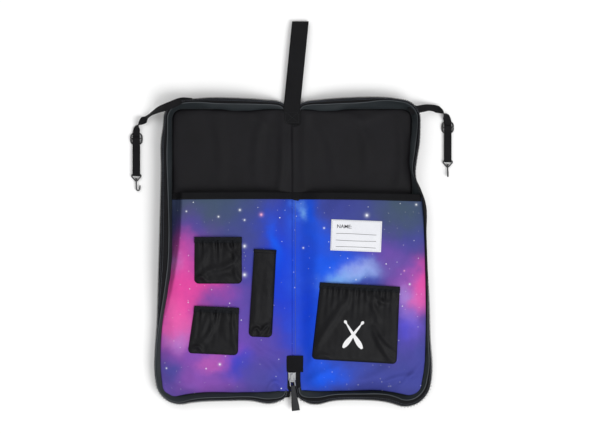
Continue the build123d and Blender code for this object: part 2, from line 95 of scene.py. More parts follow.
# %% [markdown]
# ## Tools for laying cloth
# Soft goods are drawn here from a few given numbers. A smooth curve through a few stops says how wide
# or high something is on its way round, and a fold is a ridge along a bent line. Ready-made cubes and
# cylinders would give hard edges, so each mesh is a grid or a tube built from points.

# %% Smooth steps, curves, ripples and folds
def smooth_step(value, low, high):
    """0 below low, 1 above high and an even slope between them."""
    t = np.clip((np.asarray(value, float) - low) / (high - low), 0, 1)
    return t * t * (3 - 2 * t)


def through(stops):
    """A smooth function through given (place, value) stops, in order of place."""
    place, value = np.array(stops, float).T
    slope = np.gradient(value, place)

    def at(p):
        p = np.clip(p, place[0], place[-1])
        k = np.clip(np.searchsorted(place, p, side="right") - 1, 0, len(place) - 2)
        gap = place[k + 1] - place[k]
        t = (p - place[k]) / gap
        start = (2 * t**3 - 3 * t**2 + 1) * value[k] + (t**3 - 2 * t**2 + t) * gap * slope[k]
        end = (3 * t**2 - 2 * t**3) * value[k + 1] + (t**3 - t**2) * gap * slope[k + 1]
        return start + end

    return at


def ripples(x, y, size, seed):
    """Seeded smooth noise, mostly from -1 to 1, made of crossing waves about `size` long."""
    rng = np.random.default_rng(seed)
    total = 0
    for _ in range(9):
        angle, phase = rng.uniform(0, 2 * pi, 2)
        wave = size * rng.uniform(0.7, 1.6)
        total = total + np.sin((x * cos(angle) + y * sin(angle)) * 2 * pi / wave + phase)
    return total / 4.5


def fold(x, y, start, middle, end, width, height):
    """Height of a fold that runs from start to end, bent towards middle, and fades out at both ends."""
    t = np.linspace(0, 1, 33)[:, None]
    line = (1 - t) ** 2 * np.array(start) + 2 * t * (1 - t) * np.array(middle) + t**2 * np.array(end)
    away = np.hypot(x[..., None] - line[:, 0], y[..., None] - line[:, 1])
    nearest = away.argmin(-1)
    distance = np.take_along_axis(away, nearest[..., None], -1)[..., 0] / width
    fade = np.sin(pi * np.clip(0.08 + 0.84 * nearest / 32, 0, 1)) ** 0.7
    return height * fade * (np.exp(-distance**2) - 0.45 * np.exp(-((distance / 2.1) ** 2)))


print("a smooth step half way gives", float(smooth_step(5, 0, 10)))

# %% [markdown]
# A sheet of cloth is a grid of points with a thickness. Its UV map, called cut, holds each point's place in
# the flat cloth in metres, so a weave or a print follows the cloth when it is folded with the bag.

# %% Meshes: grids of cloth and tubes
def new_piece(name, points, faces, material, cut=None):
    """A smooth mesh object from points in millimetres."""
    mesh = bpy.data.meshes.new(name)
    points = np.asarray(points, float).reshape(-1, 3)
    mesh.from_pydata((points * MM).tolist(), [], faces)
    if cut is not None:
        cut = np.asarray(cut, float).reshape(-1, 2) * MM
        corners = np.empty(len(mesh.loops), int)
        mesh.loops.foreach_get("vertex_index", corners)
        mesh.uv_layers.new(name="cut").data.foreach_set("uv", cut[corners].ravel())
    mesh.polygons.foreach_set("use_smooth", [True] * len(mesh.polygons))
    mesh.materials.append(material)
    piece = bpy.data.objects.new(name, mesh)
    bpy.context.scene.collection.objects.link(piece)
    return piece


def grid_faces(rows, cols, wrap=False, flip=False):
    """Four-sided faces of a grid; wrap joins the last column to the first."""
    i = np.arange(rows - 1)[:, None]
    j = np.arange(cols if wrap else cols - 1)[None, :]
    after = (j + 1) % cols
    corners = [i * cols + j, i * cols + after, (i + 1) * cols + after, (i + 1) * cols + j]
    if flip:
        corners.reverse()
    return np.stack(corners, -1).reshape(-1, 4).tolist()


def thicken(piece, thickness, offset):
    """Gives a sheet its thickness: below its points for an offset of -1, and to both sides for 0."""
    solid = piece.modifiers.new("thickness", "SOLIDIFY")
    solid.thickness, solid.offset = thickness * MM, offset
    return piece


def lay_cloth(name, points, cut, material, thickness, flip=False):
    """A sheet of cloth from a grid of points on its upper face. Its thickness lies below them."""
    rows, cols = points.shape[:2]
    piece = new_piece(name, points, grid_faces(rows, cols, flip=flip), material, cut)
    return thicken(piece, thickness, -1)


def unit(vectors):
    return vectors / np.maximum(np.linalg.norm(vectors, axis=-1, keepdims=True), 1e-9)


def run_along(path):
    """How far along a path each of its points is."""
    return np.r_[0, np.cumsum(np.linalg.norm(np.diff(path, axis=0), axis=1))]


def sweep(name, path, across, section, material):
    """A closed section carried along a path. Section points are (across, up) in millimetres."""
    path = np.asarray(path, float)
    ahead = unit(np.gradient(path, axis=0))
    across = np.broadcast_to(np.asarray(across, float), path.shape)
    across = unit(across - (across * ahead).sum(-1, keepdims=True) * ahead)
    up = np.cross(across, ahead)
    section = np.asarray(section, float)
    rings = path[:, None] + section[:, :1] * across[:, None] + section[:, 1:] * up[:, None]
    rows, cols = rings.shape[:2]
    faces = grid_faces(rows, cols, wrap=True)
    faces += [list(range(cols))[::-1], [(rows - 1) * cols + j for j in range(cols)]]
    cut = np.stack(np.broadcast_arrays(run_along(section)[None, :], run_along(path)[:, None]), -1)
    return new_piece(name, rings, faces, material, cut)


def ring_section(radius, count=8):
    """A round section."""
    turn = np.arange(count) * 2 * pi / count
    return np.stack([radius * np.cos(turn), radius * np.sin(turn)], -1)


def band_section(width, thickness):
    """A flat section with rounded edges, for webbing."""
    half, deep = width / 2, thickness / 2
    across = np.linspace(-half + deep, half - deep, 9)
    upper = np.stack([across, np.full_like(across, deep)], -1)
    lower = np.stack([across[::-1], np.full_like(across, -deep)], -1)
    right = [[half - deep * 0.3, deep * 0.7], [half, 0], [half - deep * 0.3, -deep * 0.7]]
    left = [[-x, -z] for x, z in right]
    return np.vstack([upper, right, lower, left])


def turned(u, v, angle, middle):
    """Turns a flat place about its origin and moves it to a middle."""
    return middle[0] + u * cos(angle) - v * sin(angle), middle[1] + u * sin(angle) + v * cos(angle)


def bend_through(stops, count):
    """Points spaced evenly along a smooth line through a few stops."""
    stops = np.array(stops, float)
    run = run_along(stops)
    places = np.linspace(0, run[-1], count)
    return np.stack([through(list(zip(run, stops[:, k])))(places) for k in range(stops.shape[1])], -1)


def walk_points(path, spacing):
    """Points at an even spacing along a path of points, and how far along each one is."""
    run = run_along(path)
    places = np.arange(spacing / 2, run[-1], spacing)
    return np.stack([np.interp(places, run, path[:, k]) for k in range(3)], -1), places


print("a webbing section has", len(band_section(25, 1.2)), "points")

# %% [markdown]
# Thread lies on cloth as a row of short raised strokes, each pulled down at both ends. At this scale a bump
# map would vanish from the side, so every stitch is a small spindle of its own, and one mesh holds a row.

# %% Stitches
STITCH, STITCH_GAP, THREAD = 2.7, 0.8, 0.3


def sew(name, paths, material, thread=THREAD, stitch=STITCH, lift=0.12):
    """Rows of stitches along paths that lie on the cloth, with +Z roughly up."""
    turn = np.arange(5) * 2 * pi / 5
    spindle = [(-0.5, 0.35, -0.25), (-0.3, 0.9, 0.0), (0.0, 1.0, 0.12), (0.3, 0.9, 0.0), (0.5, 0.35, -0.25)]
    points, faces = [], []
    for path in paths:
        path = np.asarray(path, float)
        centres, places = walk_points(path, stitch + STITCH_GAP)
        run = run_along(path)
        tangent = unit(np.gradient(path, run + np.arange(len(run)) * 1e-6, axis=0))
        heading = unit(np.stack([np.interp(places, run, tangent[:, k]) for k in range(3)], -1))
        side_way = unit(np.cross(heading, [0, 0, 1]))
        up = np.cross(side_way, heading)
        for centre, ahead, side_on, above in zip(centres, heading, side_way, up):
            first = len(points)
            for along, girth, rise in spindle:
                middle = centre + ahead * along * stitch + above * (rise + lift)
                for angle in turn:
                    ring = side_on * cos(angle) + above * sin(angle)
                    points.append(middle + ring * thread * girth)
            for k in range(len(spindle) - 1):
                for j in range(5):
                    a, b = first + k * 5 + j, first + k * 5 + (j + 1) % 5
                    faces.append([a, b, b + 5, a + 5])
            faces.append([first + j for j in range(5)][::-1])
            faces.append([first + 20 + j for j in range(5)])
    return new_piece(name, points, faces, material)


print("a stitch is", STITCH, "mm long")

# %% [markdown]
# ## Finishes
# Real cloth has threads that pass over and under each other, a slow unevenness of dye, and a little lint.
# These effects are wanted in many finishes, so each is a node group, built once and placed in a material
# with its own size. The groups give out only values that vary over the surface.

# %% Node helpers and the weave group
def node(tree, kind, settings=None, **inputs):
    """A shader node, with settings by attribute and inputs by socket name or number (as i0, i1, ...)."""
    made = tree.nodes.new(kind)
    for key, value in (settings or {}).items():
        setattr(made, key, value)
    for key, value in inputs.items():
        socket = made.inputs[int(key[1:]) if key[0] == "i" and key[1:].isdigit() else key.replace("_", " ")]
        if isinstance(value, bpy.types.NodeSocket):
            tree.links.new(value, socket)
        else:
            socket.default_value = value
    return made


def math(tree, operation, first, second=0.0, third=0.0):
    settings = {"operation": operation}
    return node(tree, "ShaderNodeMath", settings, i0=first, i1=second, i2=third).outputs[0]


def vector_math(tree, operation, first, second=(0.0, 0.0, 0.0)):
    return node(tree, "ShaderNodeVectorMath", {"operation": operation}, i0=first, i1=second).outputs


def clamped(tree, value):
    """A value held between 0 and 1."""
    return math(tree, "MINIMUM", math(tree, "MAXIMUM", value, 0.0), 1.0)


def new_group(name, inputs, outputs):
    """An empty node group with named sockets: inputs are (name, kind, default)."""
    group = bpy.data.node_groups.new(name, "ShaderNodeTree")
    for socket, kind, default in inputs:
        made = group.interface.new_socket(socket, in_out="INPUT", socket_type=kind)
        if default is not None:
            made.default_value = default
    for socket, kind in outputs:
        group.interface.new_socket(socket, in_out="OUTPUT", socket_type=kind)
    return group, group.nodes.new("NodeGroupInput").outputs, group.nodes.new("NodeGroupOutput").inputs


def build_weave():
    """Plain weave: threads of one pitch across and another along, passing over and under in turn. Its second
    output is painted shade for the gaps between threads.
    """
    group, given, out = new_group(
        "thread_weave",
        [("Place", "NodeSocketVector", None), ("Across", "NodeSocketFloat", 0.0009),
         ("Along", "NodeSocketFloat", 0.0009)],
        [("Height", "NodeSocketFloat"), ("Gap Shade", "NodeSocketFloat")],
    )
    place = node(group, "ShaderNodeSeparateXYZ", Vector=given["Place"]).outputs
    warp = math(group, "DIVIDE", place[0], given["Across"])
    weft = math(group, "DIVIDE", place[1], given["Along"])
    counted = math(group, "ADD", math(group, "FLOOR", warp), math(group, "FLOOR", weft))
    over = math(group, "MODULO", math(group, "ABSOLUTE", counted), 2.0)
    round_warp = math(group, "ABSOLUTE", math(group, "SINE", math(group, "MULTIPLY", warp, pi)))
    round_weft = math(group, "ABSOLUTE", math(group, "SINE", math(group, "MULTIPLY", weft, pi)))
    warp_top = math(group, "MULTIPLY", round_warp, math(group, "MULTIPLY_ADD", round_weft, 0.5, 0.5))
    weft_top = math(group, "MULTIPLY", round_weft, math(group, "MULTIPLY_ADD", round_warp, 0.5, 0.5))
    height = node(group, "ShaderNodeMix", i0=over, i2=weft_top, i3=warp_top).outputs[0]
    group.links.new(height, out["Height"])
    group.links.new(math(group, "SUBTRACT", 1.0, height), out["Gap Shade"])
    return group


WEAVE = build_weave()
print("the weave group has", len(WEAVE.nodes), "nodes")

# %% [markdown]
# Dye and lint: a slow noise varies the colour by hand-widths, and fine specks catch on dark cloth.

# %% Groups for uneven dye, lint and handling marks
def build_mottle():
    """Slow unevenness from 0 to 1, in patches about Size metres across."""
    group, given, out = new_group(
        "uneven_dye",
        [("Place", "NodeSocketVector", None), ("Size", "NodeSocketFloat", 0.05)],
        [("Shade", "NodeSocketFloat")],
    )
    scale = math(group, "DIVIDE", 1.0, given["Size"])
    noise = node(group, "ShaderNodeTexNoise", Vector=given["Place"], Scale=scale, Detail=5.0, Roughness=0.6)
    spread = math(group, "MULTIPLY_ADD", noise.outputs[0], 2.2, -0.6)
    group.links.new(clamped(group, spread), out["Shade"])
    return group


def build_lint():
    """Scattered short fibres: a mask that is 1 on lint and 0 elsewhere."""
    group, given, out = new_group(
        "lint",
        [("Place", "NodeSocketVector", None), ("Amount", "NodeSocketFloat", 0.3)],
        [("Mask", "NodeSocketFloat")],
    )
    noise = node(group, "ShaderNodeTexNoise", Vector=given["Place"], Scale=900.0, Detail=3.0, Roughness=0.7)
    level = math(group, "SUBTRACT", 0.86, math(group, "MULTIPLY", given["Amount"], 0.2))
    mask = math(group, "MULTIPLY", math(group, "SUBTRACT", noise.outputs[0], level), 8.0)
    group.links.new(clamped(group, mask), out["Mask"])
    return group


def build_handling():
    """Fine rubbed scratches on metal and paint, from 0 to 1."""
    group, given, out = new_group(
        "handling_marks",
        [("Place", "NodeSocketVector", None), ("Size", "NodeSocketFloat", 0.004)],
        [("Marks", "NodeSocketFloat")],
    )
    scale = math(group, "DIVIDE", 1.0, given["Size"])
    stretched = node(group, "ShaderNodeMapping", Vector=given["Place"], Scale=(1.0, 4.0, 1.0)).outputs[0]
    noise = node(group, "ShaderNodeTexNoise", Vector=stretched, Scale=scale, Detail=8.0, Roughness=0.75)
    marks = math(group, "MULTIPLY", math(group, "SUBTRACT", noise.outputs[0], 0.42), 3.5)
    group.links.new(clamped(group, marks), out["Marks"])
    return group


MOTTLE, LINT, HANDLING = build_mottle(), build_lint(), build_handling()
print("groups for dye, lint and handling are ready")

# %% [markdown]
# One function then makes any woven finish: two tones of the dye, a thread pitch each way, and how deep the
# threads stand. Webbing is the same weave with longer threads. Metal and painted wire take the handling
# marks instead.

# %% Woven and metal finishes
def use(tree, group, **inputs):
    """Places a node group in a material."""
    made = node(tree, "ShaderNodeGroup", {"node_tree": group})
    for key, value in inputs.items():
        if isinstance(value, bpy.types.NodeSocket):
            tree.links.new(value, made.inputs[key])
        else:
            made.inputs[key].default_value = value
    return made.outputs


def new_finish(name, roughness, metallic=0.0):
    material = bpy.data.materials.new(name)
    material.use_nodes = True
    tree = material.node_tree
    shader = tree.nodes["Principled BSDF"]
    shader.inputs["Roughness"].default_value = roughness
    shader.inputs["Metallic"].default_value = metallic
    return material, tree, shader


def cloth_place(tree, on_cut=True):
    """The place in the flat cloth, or on the object for a piece that was never flat."""
    if on_cut:
        return node(tree, "ShaderNodeUVMap", {"uv_map": "cut"}).outputs[0]
    return node(tree, "ShaderNodeTexCoord").outputs["Object"]


def tones(tree, factor, dark, light):
    """A colour between two tones."""
    mixed = node(tree, "ShaderNodeMix", {"data_type": "RGBA"}, i0=factor)
    for socket, tone in ((6, dark), (7, light)):
        if isinstance(tone, bpy.types.NodeSocket):
            tree.links.new(tone, mixed.inputs[socket])
        else:
            mixed.inputs[socket].default_value = (*tone, 1.0)
    return mixed.outputs[2]


def feed(tree, shader, colour, rough, height, depth, strength):
    """Feeds a finish's colour, roughness and relief to its shader."""
    tree.links.new(colour, shader.inputs["Base Color"])
    tree.links.new(rough, shader.inputs["Roughness"])
    bump = node(tree, "ShaderNodeBump", Height=height, Distance=depth, Strength=strength)
    tree.links.new(bump.outputs[0], shader.inputs["Normal"])


def woven(name, dark, light, across, along, depth, roughness=0.85, sheen=0.0, lint=0.25, on_cut=True,
          shine=0.12):
    """A woven cloth or webbing: its tones, its thread pitches in millimetres and its depth."""
    material, tree, shader = new_finish(name, roughness)
    place = cloth_place(tree, on_cut)
    weave = use(tree, WEAVE, Place=place, Across=across * MM, Along=along * MM)
    dye = use(tree, MOTTLE, Place=place, Size=0.04)
    specks = use(tree, LINT, Place=place, Amount=lint)
    colour = tones(tree, dye["Shade"], dark, light)
    # painted shade in the gaps between threads
    colour = tones(tree, math(tree, "MULTIPLY", weave["Gap Shade"], 0.45), colour, tuple(c * 0.35 for c in dark))
    pale = tuple(min(1.0, c + 0.1) for c in light)
    colour = tones(tree, math(tree, "MULTIPLY", specks["Mask"], 0.4), colour, pale)
    rough = math(tree, "MULTIPLY_ADD", dye["Shade"], 0.12, roughness - 0.06)
    feed(tree, shader, colour, rough, weave["Height"], depth * MM, 0.6)
    shader.inputs["Specular IOR Level"].default_value = shine
    shader.inputs["Sheen Weight"].default_value = sheen
    shader.inputs["Sheen Roughness"].default_value = 0.4
    return material


def metal(name, colour, worn, roughness, metallic):
    """Plated or painted metal with rubbed marks."""
    material, tree, shader = new_finish(name, roughness, metallic)
    marks = use(tree, HANDLING, Place=cloth_place(tree, on_cut=False), Size=0.004)["Marks"]
    rough = math(tree, "MULTIPLY_ADD", marks, 0.2, roughness)
    feed(tree, shader, tones(tree, marks, colour, worn), rough, marks, 0.01 * MM, 0.2)
    return material


SHELL = woven("shell_cloth", (0.010, 0.010, 0.012), (0.018, 0.018, 0.021), 0.9, 0.9, 0.25, 0.7, 0.03)
LINING = woven("lining_cloth", (0.0042, 0.0040, 0.0052), (0.0092, 0.0086, 0.0112), 0.6, 0.6, 0.12, 0.6,
               shine=0.17)
WALL_CLOTH = woven("wall_lining_cloth", (0.013, 0.017, 0.020), (0.022, 0.028, 0.032), 0.6, 0.6, 0.12, 0.55,
                   0.03, shine=0.2)
# Painted highlight: the pale grey of the seam cord stands for light caught along the folded edge of wall and
# zipper tape
SEAM_HIGHLIGHT = woven("seam_highlight_edge", (0.055, 0.062, 0.068), (0.10, 0.11, 0.12), 0.7, 0.7, 0.2, 0.7)
TAPE = woven("zipper_tape", (0.0060, 0.0060, 0.0072), (0.0125, 0.0125, 0.0140), 0.7, 1.4, 0.3, 0.8, lint=0.35)
COIL = woven("zipper_coil", (0.009, 0.009, 0.010), (0.018, 0.018, 0.020), 2.0, 2.0, 0.05, 0.38, on_cut=False,
             shine=0.4)
BINDING = woven("binding_tape", (0.0045, 0.0045, 0.0055), (0.0095, 0.0095, 0.011), 0.5, 1.0, 0.2, 0.85)
POCKET = woven("pocket_cloth", (0.0024, 0.0024, 0.0034), (0.0052, 0.0052, 0.0068), 0.6, 0.6, 0.12, 0.5,
               shine=0.17)
ELASTIC = woven("elastic_hem", (0.0055, 0.0065, 0.0085), (0.0125, 0.0140, 0.0175), 1.1, 0.6, 0.35, 0.7)
WEBBING = woven("webbing", (0.0052, 0.0052, 0.0062), (0.0110, 0.0110, 0.0125), 1.6, 1.1, 0.5, 0.72, 0.02)
PULL_CLOTH = woven("pull_webbing", (0.026, 0.027, 0.029), (0.048, 0.050, 0.053), 1.2, 0.8, 0.35, 0.7)
LABEL = woven("label_cloth", (0.78, 0.79, 0.84), (0.86, 0.87, 0.90), 0.35, 0.35, 0.05, 0.7, lint=0.0)
INK = woven("label_ink", (0.02, 0.02, 0.022), (0.05, 0.05, 0.055), 0.35, 0.35, 0.03, 0.8, on_cut=False)
PRINT = woven("white_print", (0.80, 0.80, 0.81), (0.88, 0.88, 0.89), 0.6, 0.6, 0.08, 0.6, lint=0.0)
THREAD_BLACK = woven("black_thread", (0.012, 0.012, 0.014), (0.030, 0.031, 0.034), 0.4, 0.4, 0.1, 0.6,
                     on_cut=False)
THREAD_GREY = woven("grey_thread", (0.10, 0.11, 0.13), (0.20, 0.22, 0.26), 0.4, 0.4, 0.1, 0.6, on_cut=False)
THREAD_WHITE = woven("white_thread", (0.55, 0.56, 0.6), (0.75, 0.76, 0.8), 0.4, 0.4, 0.1, 0.6, on_cut=False)
NICKEL = metal("nickel_plate", (0.50, 0.51, 0.53), (0.40, 0.41, 0.42), 0.3, 1.0)
BLACK_WIRE = metal("black_wire", (0.012, 0.012, 0.013), (0.045, 0.045, 0.047), 0.3, 0.0)
print("finishes:", len(bpy.data.materials))

# %% [markdown]
# The stick pocket is printed with a night sky. Each cloud of the print is a soft ellipse whose edge is torn
# by noise, laid over the last one, as a printer lays inks. The places are those of the flat cloth, so the
# print stays on the cloth when the bag folds. Stars are cells of a Voronoi pattern that show only near
# their centres, and the largest are listed one by one.

# %% The sky print
def build_cloud():
    """A soft torn ellipse: 1 in its middle and 0 outside."""
    group, given, out = new_group(
        "sky_cloud",
        [("Place", "NodeSocketVector", None), ("Torn", "NodeSocketVector", None),
         ("Centre", "NodeSocketVector", None), ("Reach", "NodeSocketVector", (0.05, 0.05, 1.0)),
         ("Turn", "NodeSocketFloat", 0.0), ("Strength", "NodeSocketFloat", 1.0)],
        [("Mask", "NodeSocketFloat")],
    )
    moved = vector_math(group, "SUBTRACT", given["Place"], given["Centre"])[0]
    torn = vector_math(group, "ADD", moved, given["Torn"])[0]
    spun = node(group, "ShaderNodeVectorRotate", {"rotation_type": "Z_AXIS"}, i0=torn, Angle=given["Turn"])
    scaled = vector_math(group, "DIVIDE", spun.outputs[0], given["Reach"])[0]
    length = vector_math(group, "LENGTH", scaled)[1]
    soft = math(group, "EXPONENT", math(group, "MULTIPLY", math(group, "POWER", length, 2.0), -1.0))
    group.links.new(math(group, "MULTIPLY", soft, given["Strength"]), out["Mask"])
    return group


CLOUD = build_cloud()

TEAL, NAVY, INDIGO = (0.052, 0.085, 0.118), (0.006, 0.014, 0.042), (0.048, 0.058, 0.30)
ROYAL, BLUE, CYAN = (0.002, 0.040, 0.64), (0.004, 0.090, 0.78), (0.28, 0.60, 0.92)
VIOLET, PURPLE, PINK = (0.17, 0.07, 0.46), (0.27, 0.075, 0.40), (0.80, 0.060, 0.34)
ROSE, LAVENDER = (0.78, 0.13, 0.42), (0.42, 0.30, 0.76)

# Each cloud: its ink, middle x and y, reach along and across in millimetres, turn in degrees, strength
CLOUDS = [
    (INDIGO, -60, 20, 130, 120, 0, 0.95),
    (TEAL, -140, 62, 74, 34, -14, 1.0),
    (TEAL, -110, 80, 60, 24, 0, 0.9),
    (VIOLET, -112, -150, 92, 62, 0, 0.95),
    (VIOLET, -92, -70, 40, 50, 0, 0.5),
    (PURPLE, -150, -2, 36, 30, 30, 0.85),
    (PINK, -166, -34, 24, 52, 0, 0.8),
    (PINK, -172, -84, 34, 54, -10, 1.0),
    (PINK, -134, -52, 34, 20, -8, 0.8),
    (INDIGO, -154, 36, 30, 26, 0, 0.7),
    (ROSE, -178, -92, 18, 30, -8, 0.5),
    (ROSE, -168, -116, 26, 22, 0, 0.55),
    (LAVENDER, -174, -20, 12, 12, 0, 0.5),
    (LAVENDER, -174, -138, 17, 14, 0, 0.35),
    (PURPLE, -140, -196, 62, 26, 0, 0.7),
    (ROSE, -112, -162, 30, 12, 12, 0.45),
    (ROYAL, -82, -170, 20, 20, 0, 0.7),
    (INDIGO, -50, -185, 44, 30, 0, 0.6),
    (INDIGO, -186, -190, 22, 18, 0, 0.8),
    (ROYAL, -22, -30, 24, 78, 0, 1.0),
    (BLUE, -24, 6, 10, 38, 4, 0.95),
    (ROYAL, -2, -60, 18, 120, 0, 0.6),
    (NAVY, -2, 74, 10, 22, 0, 0.5),
    (INDIGO, 78, 62, 76, 30, 0, 0.9),
    (NAVY, 60, 72, 44, 14, 0, 0.2),
    (BLUE, 18, 58, 21, 30, 8, 1.0),
    (CYAN, 11, 56, 6, 13, 14, 0.6),
    (BLUE, 34, 22, 24, 24, 30, 0.7),
    (TEAL, 168, 52, 52, 40, 0, 0.95),
    (INDIGO, 160, 8, 60, 26, 0, 0.7),
    (BLUE, 62, -22, 58, 34, 0, 1.0),
    (CYAN, 64, -40, 34, 12, 10, 0.6),
    (CYAN, 106, -30, 26, 12, 12, 0.55),
    (LAVENDER, 104, -28, 24, 12, 0, 0.35),
    (PURPLE, 140, -6, 28, 30, 30, 0.4),
    (BLUE, 32, -110, 30, 110, 0, 0.95),
    (ROYAL, 24, -90, 16, 90, 0, 0.75),
    (VIOLET, 178, -100, 24, 60, 0, 0.9),
    (PURPLE, 172, -46, 28, 24, 0, 0.85),
    (PINK, 198, -50, 17, 28, 0, 0.8),
    (ROSE, 192, -70, 14, 20, 0, 0.5),
    (LAVENDER, 172, -62, 14, 12, 0, 0.45),
    (LAVENDER, 176, -100, 14, 34, 4, 0.3),
    (ROYAL, 172, -122, 18, 26, 0, 0.5),
    (INDIGO, 140, -192, 90, 30, 0, 0.9),
    (BLUE, 52, -184, 40, 24, 20, 0.95),
    (INDIGO, 190, -172, 24, 40, 0, 0.7),
]
# Painted shade: navy ink that runs down into the pleat to darken it where the fold lies in shade, printed
# without torn edges
PAINTED_PLEAT_SHADE = (NAVY, -184, 24, 12, 80, -6, 0.95)
# The largest stars: x, y, radius in millimetres and ink
STARLIGHT, STAR_PINK = (0.92, 0.95, 1.0), (0.95, 0.45, 0.62)
STARS = [
    (-71, 6, 1.9, STARLIGHT), (-71, -37, 2.2, STARLIGHT), (112, 52, 2.1, STARLIGHT),
    (-108, -171, 1.4, STARLIGHT), (-78, 60, 1.3, STARLIGHT), (-71, 45, 1.1, STARLIGHT),
    (-46, 53, 2.0, STAR_PINK), (-158, 58, 0.9, STARLIGHT), (186, 68, 1.2, STARLIGHT),
    (-110, 50, 1.1, STARLIGHT), (-188, -177, 0.9, STARLIGHT), (176, -51, 1.0, STARLIGHT),
    (168, -31, 0.9, STAR_PINK), (48, 33, 1.0, STARLIGHT), (17, 3, 1.0, STARLIGHT),
]


def build_star_dust():
    """Tiny stars: a mask that is 1 in the middle of a few cells. Spacing is the width of a cell."""
    group, given, out = new_group(
        "star_dust",
        [("Place", "NodeSocketVector", None), ("Spacing", "NodeSocketFloat", 0.02),
         ("Radius", "NodeSocketFloat", 0.05), ("Share", "NodeSocketFloat", 0.5)],
        [("Mask", "NodeSocketFloat")],
    )
    scale = math(group, "DIVIDE", 1.0, given["Spacing"])
    flat = {"voronoi_dimensions": "2D"}
    cells = node(group, "ShaderNodeTexVoronoi", flat, Vector=given["Place"], Scale=scale)
    chance = node(group, "ShaderNodeSeparateColor", Color=cells.outputs["Color"]).outputs
    shown = math(group, "LESS_THAN", chance[0], given["Share"])
    size = math(group, "MULTIPLY", given["Radius"], math(group, "MULTIPLY_ADD", chance[1], 0.9, 0.35))
    share = math(group, "SUBTRACT", 1.0, math(group, "DIVIDE", cells.outputs["Distance"], size))
    core = math(group, "MINIMUM", math(group, "MULTIPLY", math(group, "MAXIMUM", share, 0.0), 2.5), 1.0)
    bright = math(group, "MULTIPLY_ADD", chance[2], 0.7, 0.3)
    mask = math(group, "MULTIPLY", math(group, "MULTIPLY", core, shown), bright)
    group.links.new(mask, out["Mask"])
    return group


STAR_DUST = build_star_dust()


STILL = (0.0, 0.0, 0.0)
# Star dust: spacing in millimetres, radius as a share of it, share of the cells with a star, and strength
STAR_DUSTS = ((12, 0.05, 0.2, 0.6), (26, 0.034, 0.42, 0.9), (44, 0.026, 0.4, 1.0))
STAR_LAYERS = ((1.7, 0.28), (0.75, 1.0))  # a large star's glow and its core: reach in radii, and strength


def lay_ink(tree, colour, place, torn, cloud):
    """Lays one soft ellipse of ink over the colours so far."""
    ink, x, y, along, across, turn, strength = cloud
    mask = use(tree, CLOUD, Place=place, Torn=torn, Centre=(x * MM, y * MM, 0.0), Turn=radians(-turn),
               Reach=(along * MM, across * MM, 1.0), Strength=strength)["Mask"]
    return tones(tree, mask, colour, ink)


def make_sky_print():
    """The printed pocket cloth: inks laid in turn, a painted shade over the pleat, then stars, over a fine
    weave whose gaps get painted shade.
    """
    material, tree, shader = new_finish("sky_print_cloth", 0.72)
    place = cloth_place(tree)
    flat = {"noise_dimensions": "2D"}
    noise = node(tree, "ShaderNodeTexNoise", flat, Vector=place, Scale=15.0, Detail=5.0, Roughness=0.55)
    centred = vector_math(tree, "SUBTRACT", noise.outputs["Color"], (0.5, 0.5, 0.5))[0]
    torn = vector_math(tree, "MULTIPLY", centred, (0.055, 0.055, 0.0))[0]
    wisps = use(tree, MOTTLE, Place=place, Size=0.03)["Shade"]
    colour = tones(tree, wisps, (0.035, 0.042, 0.19), (0.055, 0.062, 0.27))
    for cloud in CLOUDS:
        colour = lay_ink(tree, colour, place, torn, cloud)
    smoke = use(tree, MOTTLE, Place=place, Size=0.012)["Shade"]
    colour = tones(tree, math(tree, "MULTIPLY", smoke, 0.1), colour, (0.02, 0.025, 0.11))
    # painted shade: the pleat is darkened as if the fold shades it
    colour = lay_ink(tree, colour, place, STILL, PAINTED_PLEAT_SHADE)
    for spacing, radius, share, strength in STAR_DUSTS:
        dust = use(tree, STAR_DUST, Place=place, Spacing=spacing * MM, Radius=radius, Share=share)["Mask"]
        colour = tones(tree, math(tree, "MULTIPLY", dust, strength), colour, STARLIGHT)
    for x, y, radius, ink in STARS:
        for radii, strength in STAR_LAYERS:
            star = (ink, x, y, radius * radii, radius * radii, 0, strength)
            colour = lay_ink(tree, colour, place, STILL, star)
    weave = use(tree, WEAVE, Place=place, Across=0.00055, Along=0.00055)
    # painted shade in the gaps between the print's threads
    colour = tones(tree, math(tree, "MULTIPLY", weave["Gap Shade"], 0.12), colour, (0.0, 0.0, 0.01))
    rough = math(tree, "MULTIPLY_ADD", wisps, 0.08, 0.66)
    feed(tree, shader, colour, rough, weave["Height"], 0.12 * MM, 0.5)
    shader.inputs["Specular IOR Level"].default_value = 0.14
    return material


SKY = make_sky_print()
print("the sky print lays", len(CLOUDS), "clouds and", len(STARS), "large stars")

# %% [markdown]
# ## The way round a half
# The side wall, its seam and the zipper all run round three sides of a half: from the spine's upper end, over
# the outer corners and back to the spine's lower end. One walk gives the base line with its outward
# direction, and each part of the wall then stands out from it by an amount that changes along the way.

# %% The walk round one half
END_X, END_CORNER = 20.0, 8.0  # the wall turns in at the spine on this corner
TOP_RUN = OUTER_X - CORNER - END_X
SIDE_RUN = 2 * (END_Y - CORNER)
END_ARC, CORNER_ARC = END_CORNER * pi / 2, CORNER * pi / 2
WALK_LENGTH = 2 * (END_ARC + TOP_RUN + CORNER_ARC) + SIDE_RUN


def at_top(x):
    return END_ARC + x - END_X


def upper_corner(share):
    return END_ARC + TOP_RUN + CORNER_ARC * share


def at_side(y):
    return END_ARC + TOP_RUN + CORNER_ARC + END_Y - CORNER - y


def lower_corner(share):
    return END_ARC + TOP_RUN + CORNER_ARC + SIDE_RUN + CORNER_ARC * share


def at_bottom(x):
    return WALK_LENGTH - END_ARC - (x - END_X)


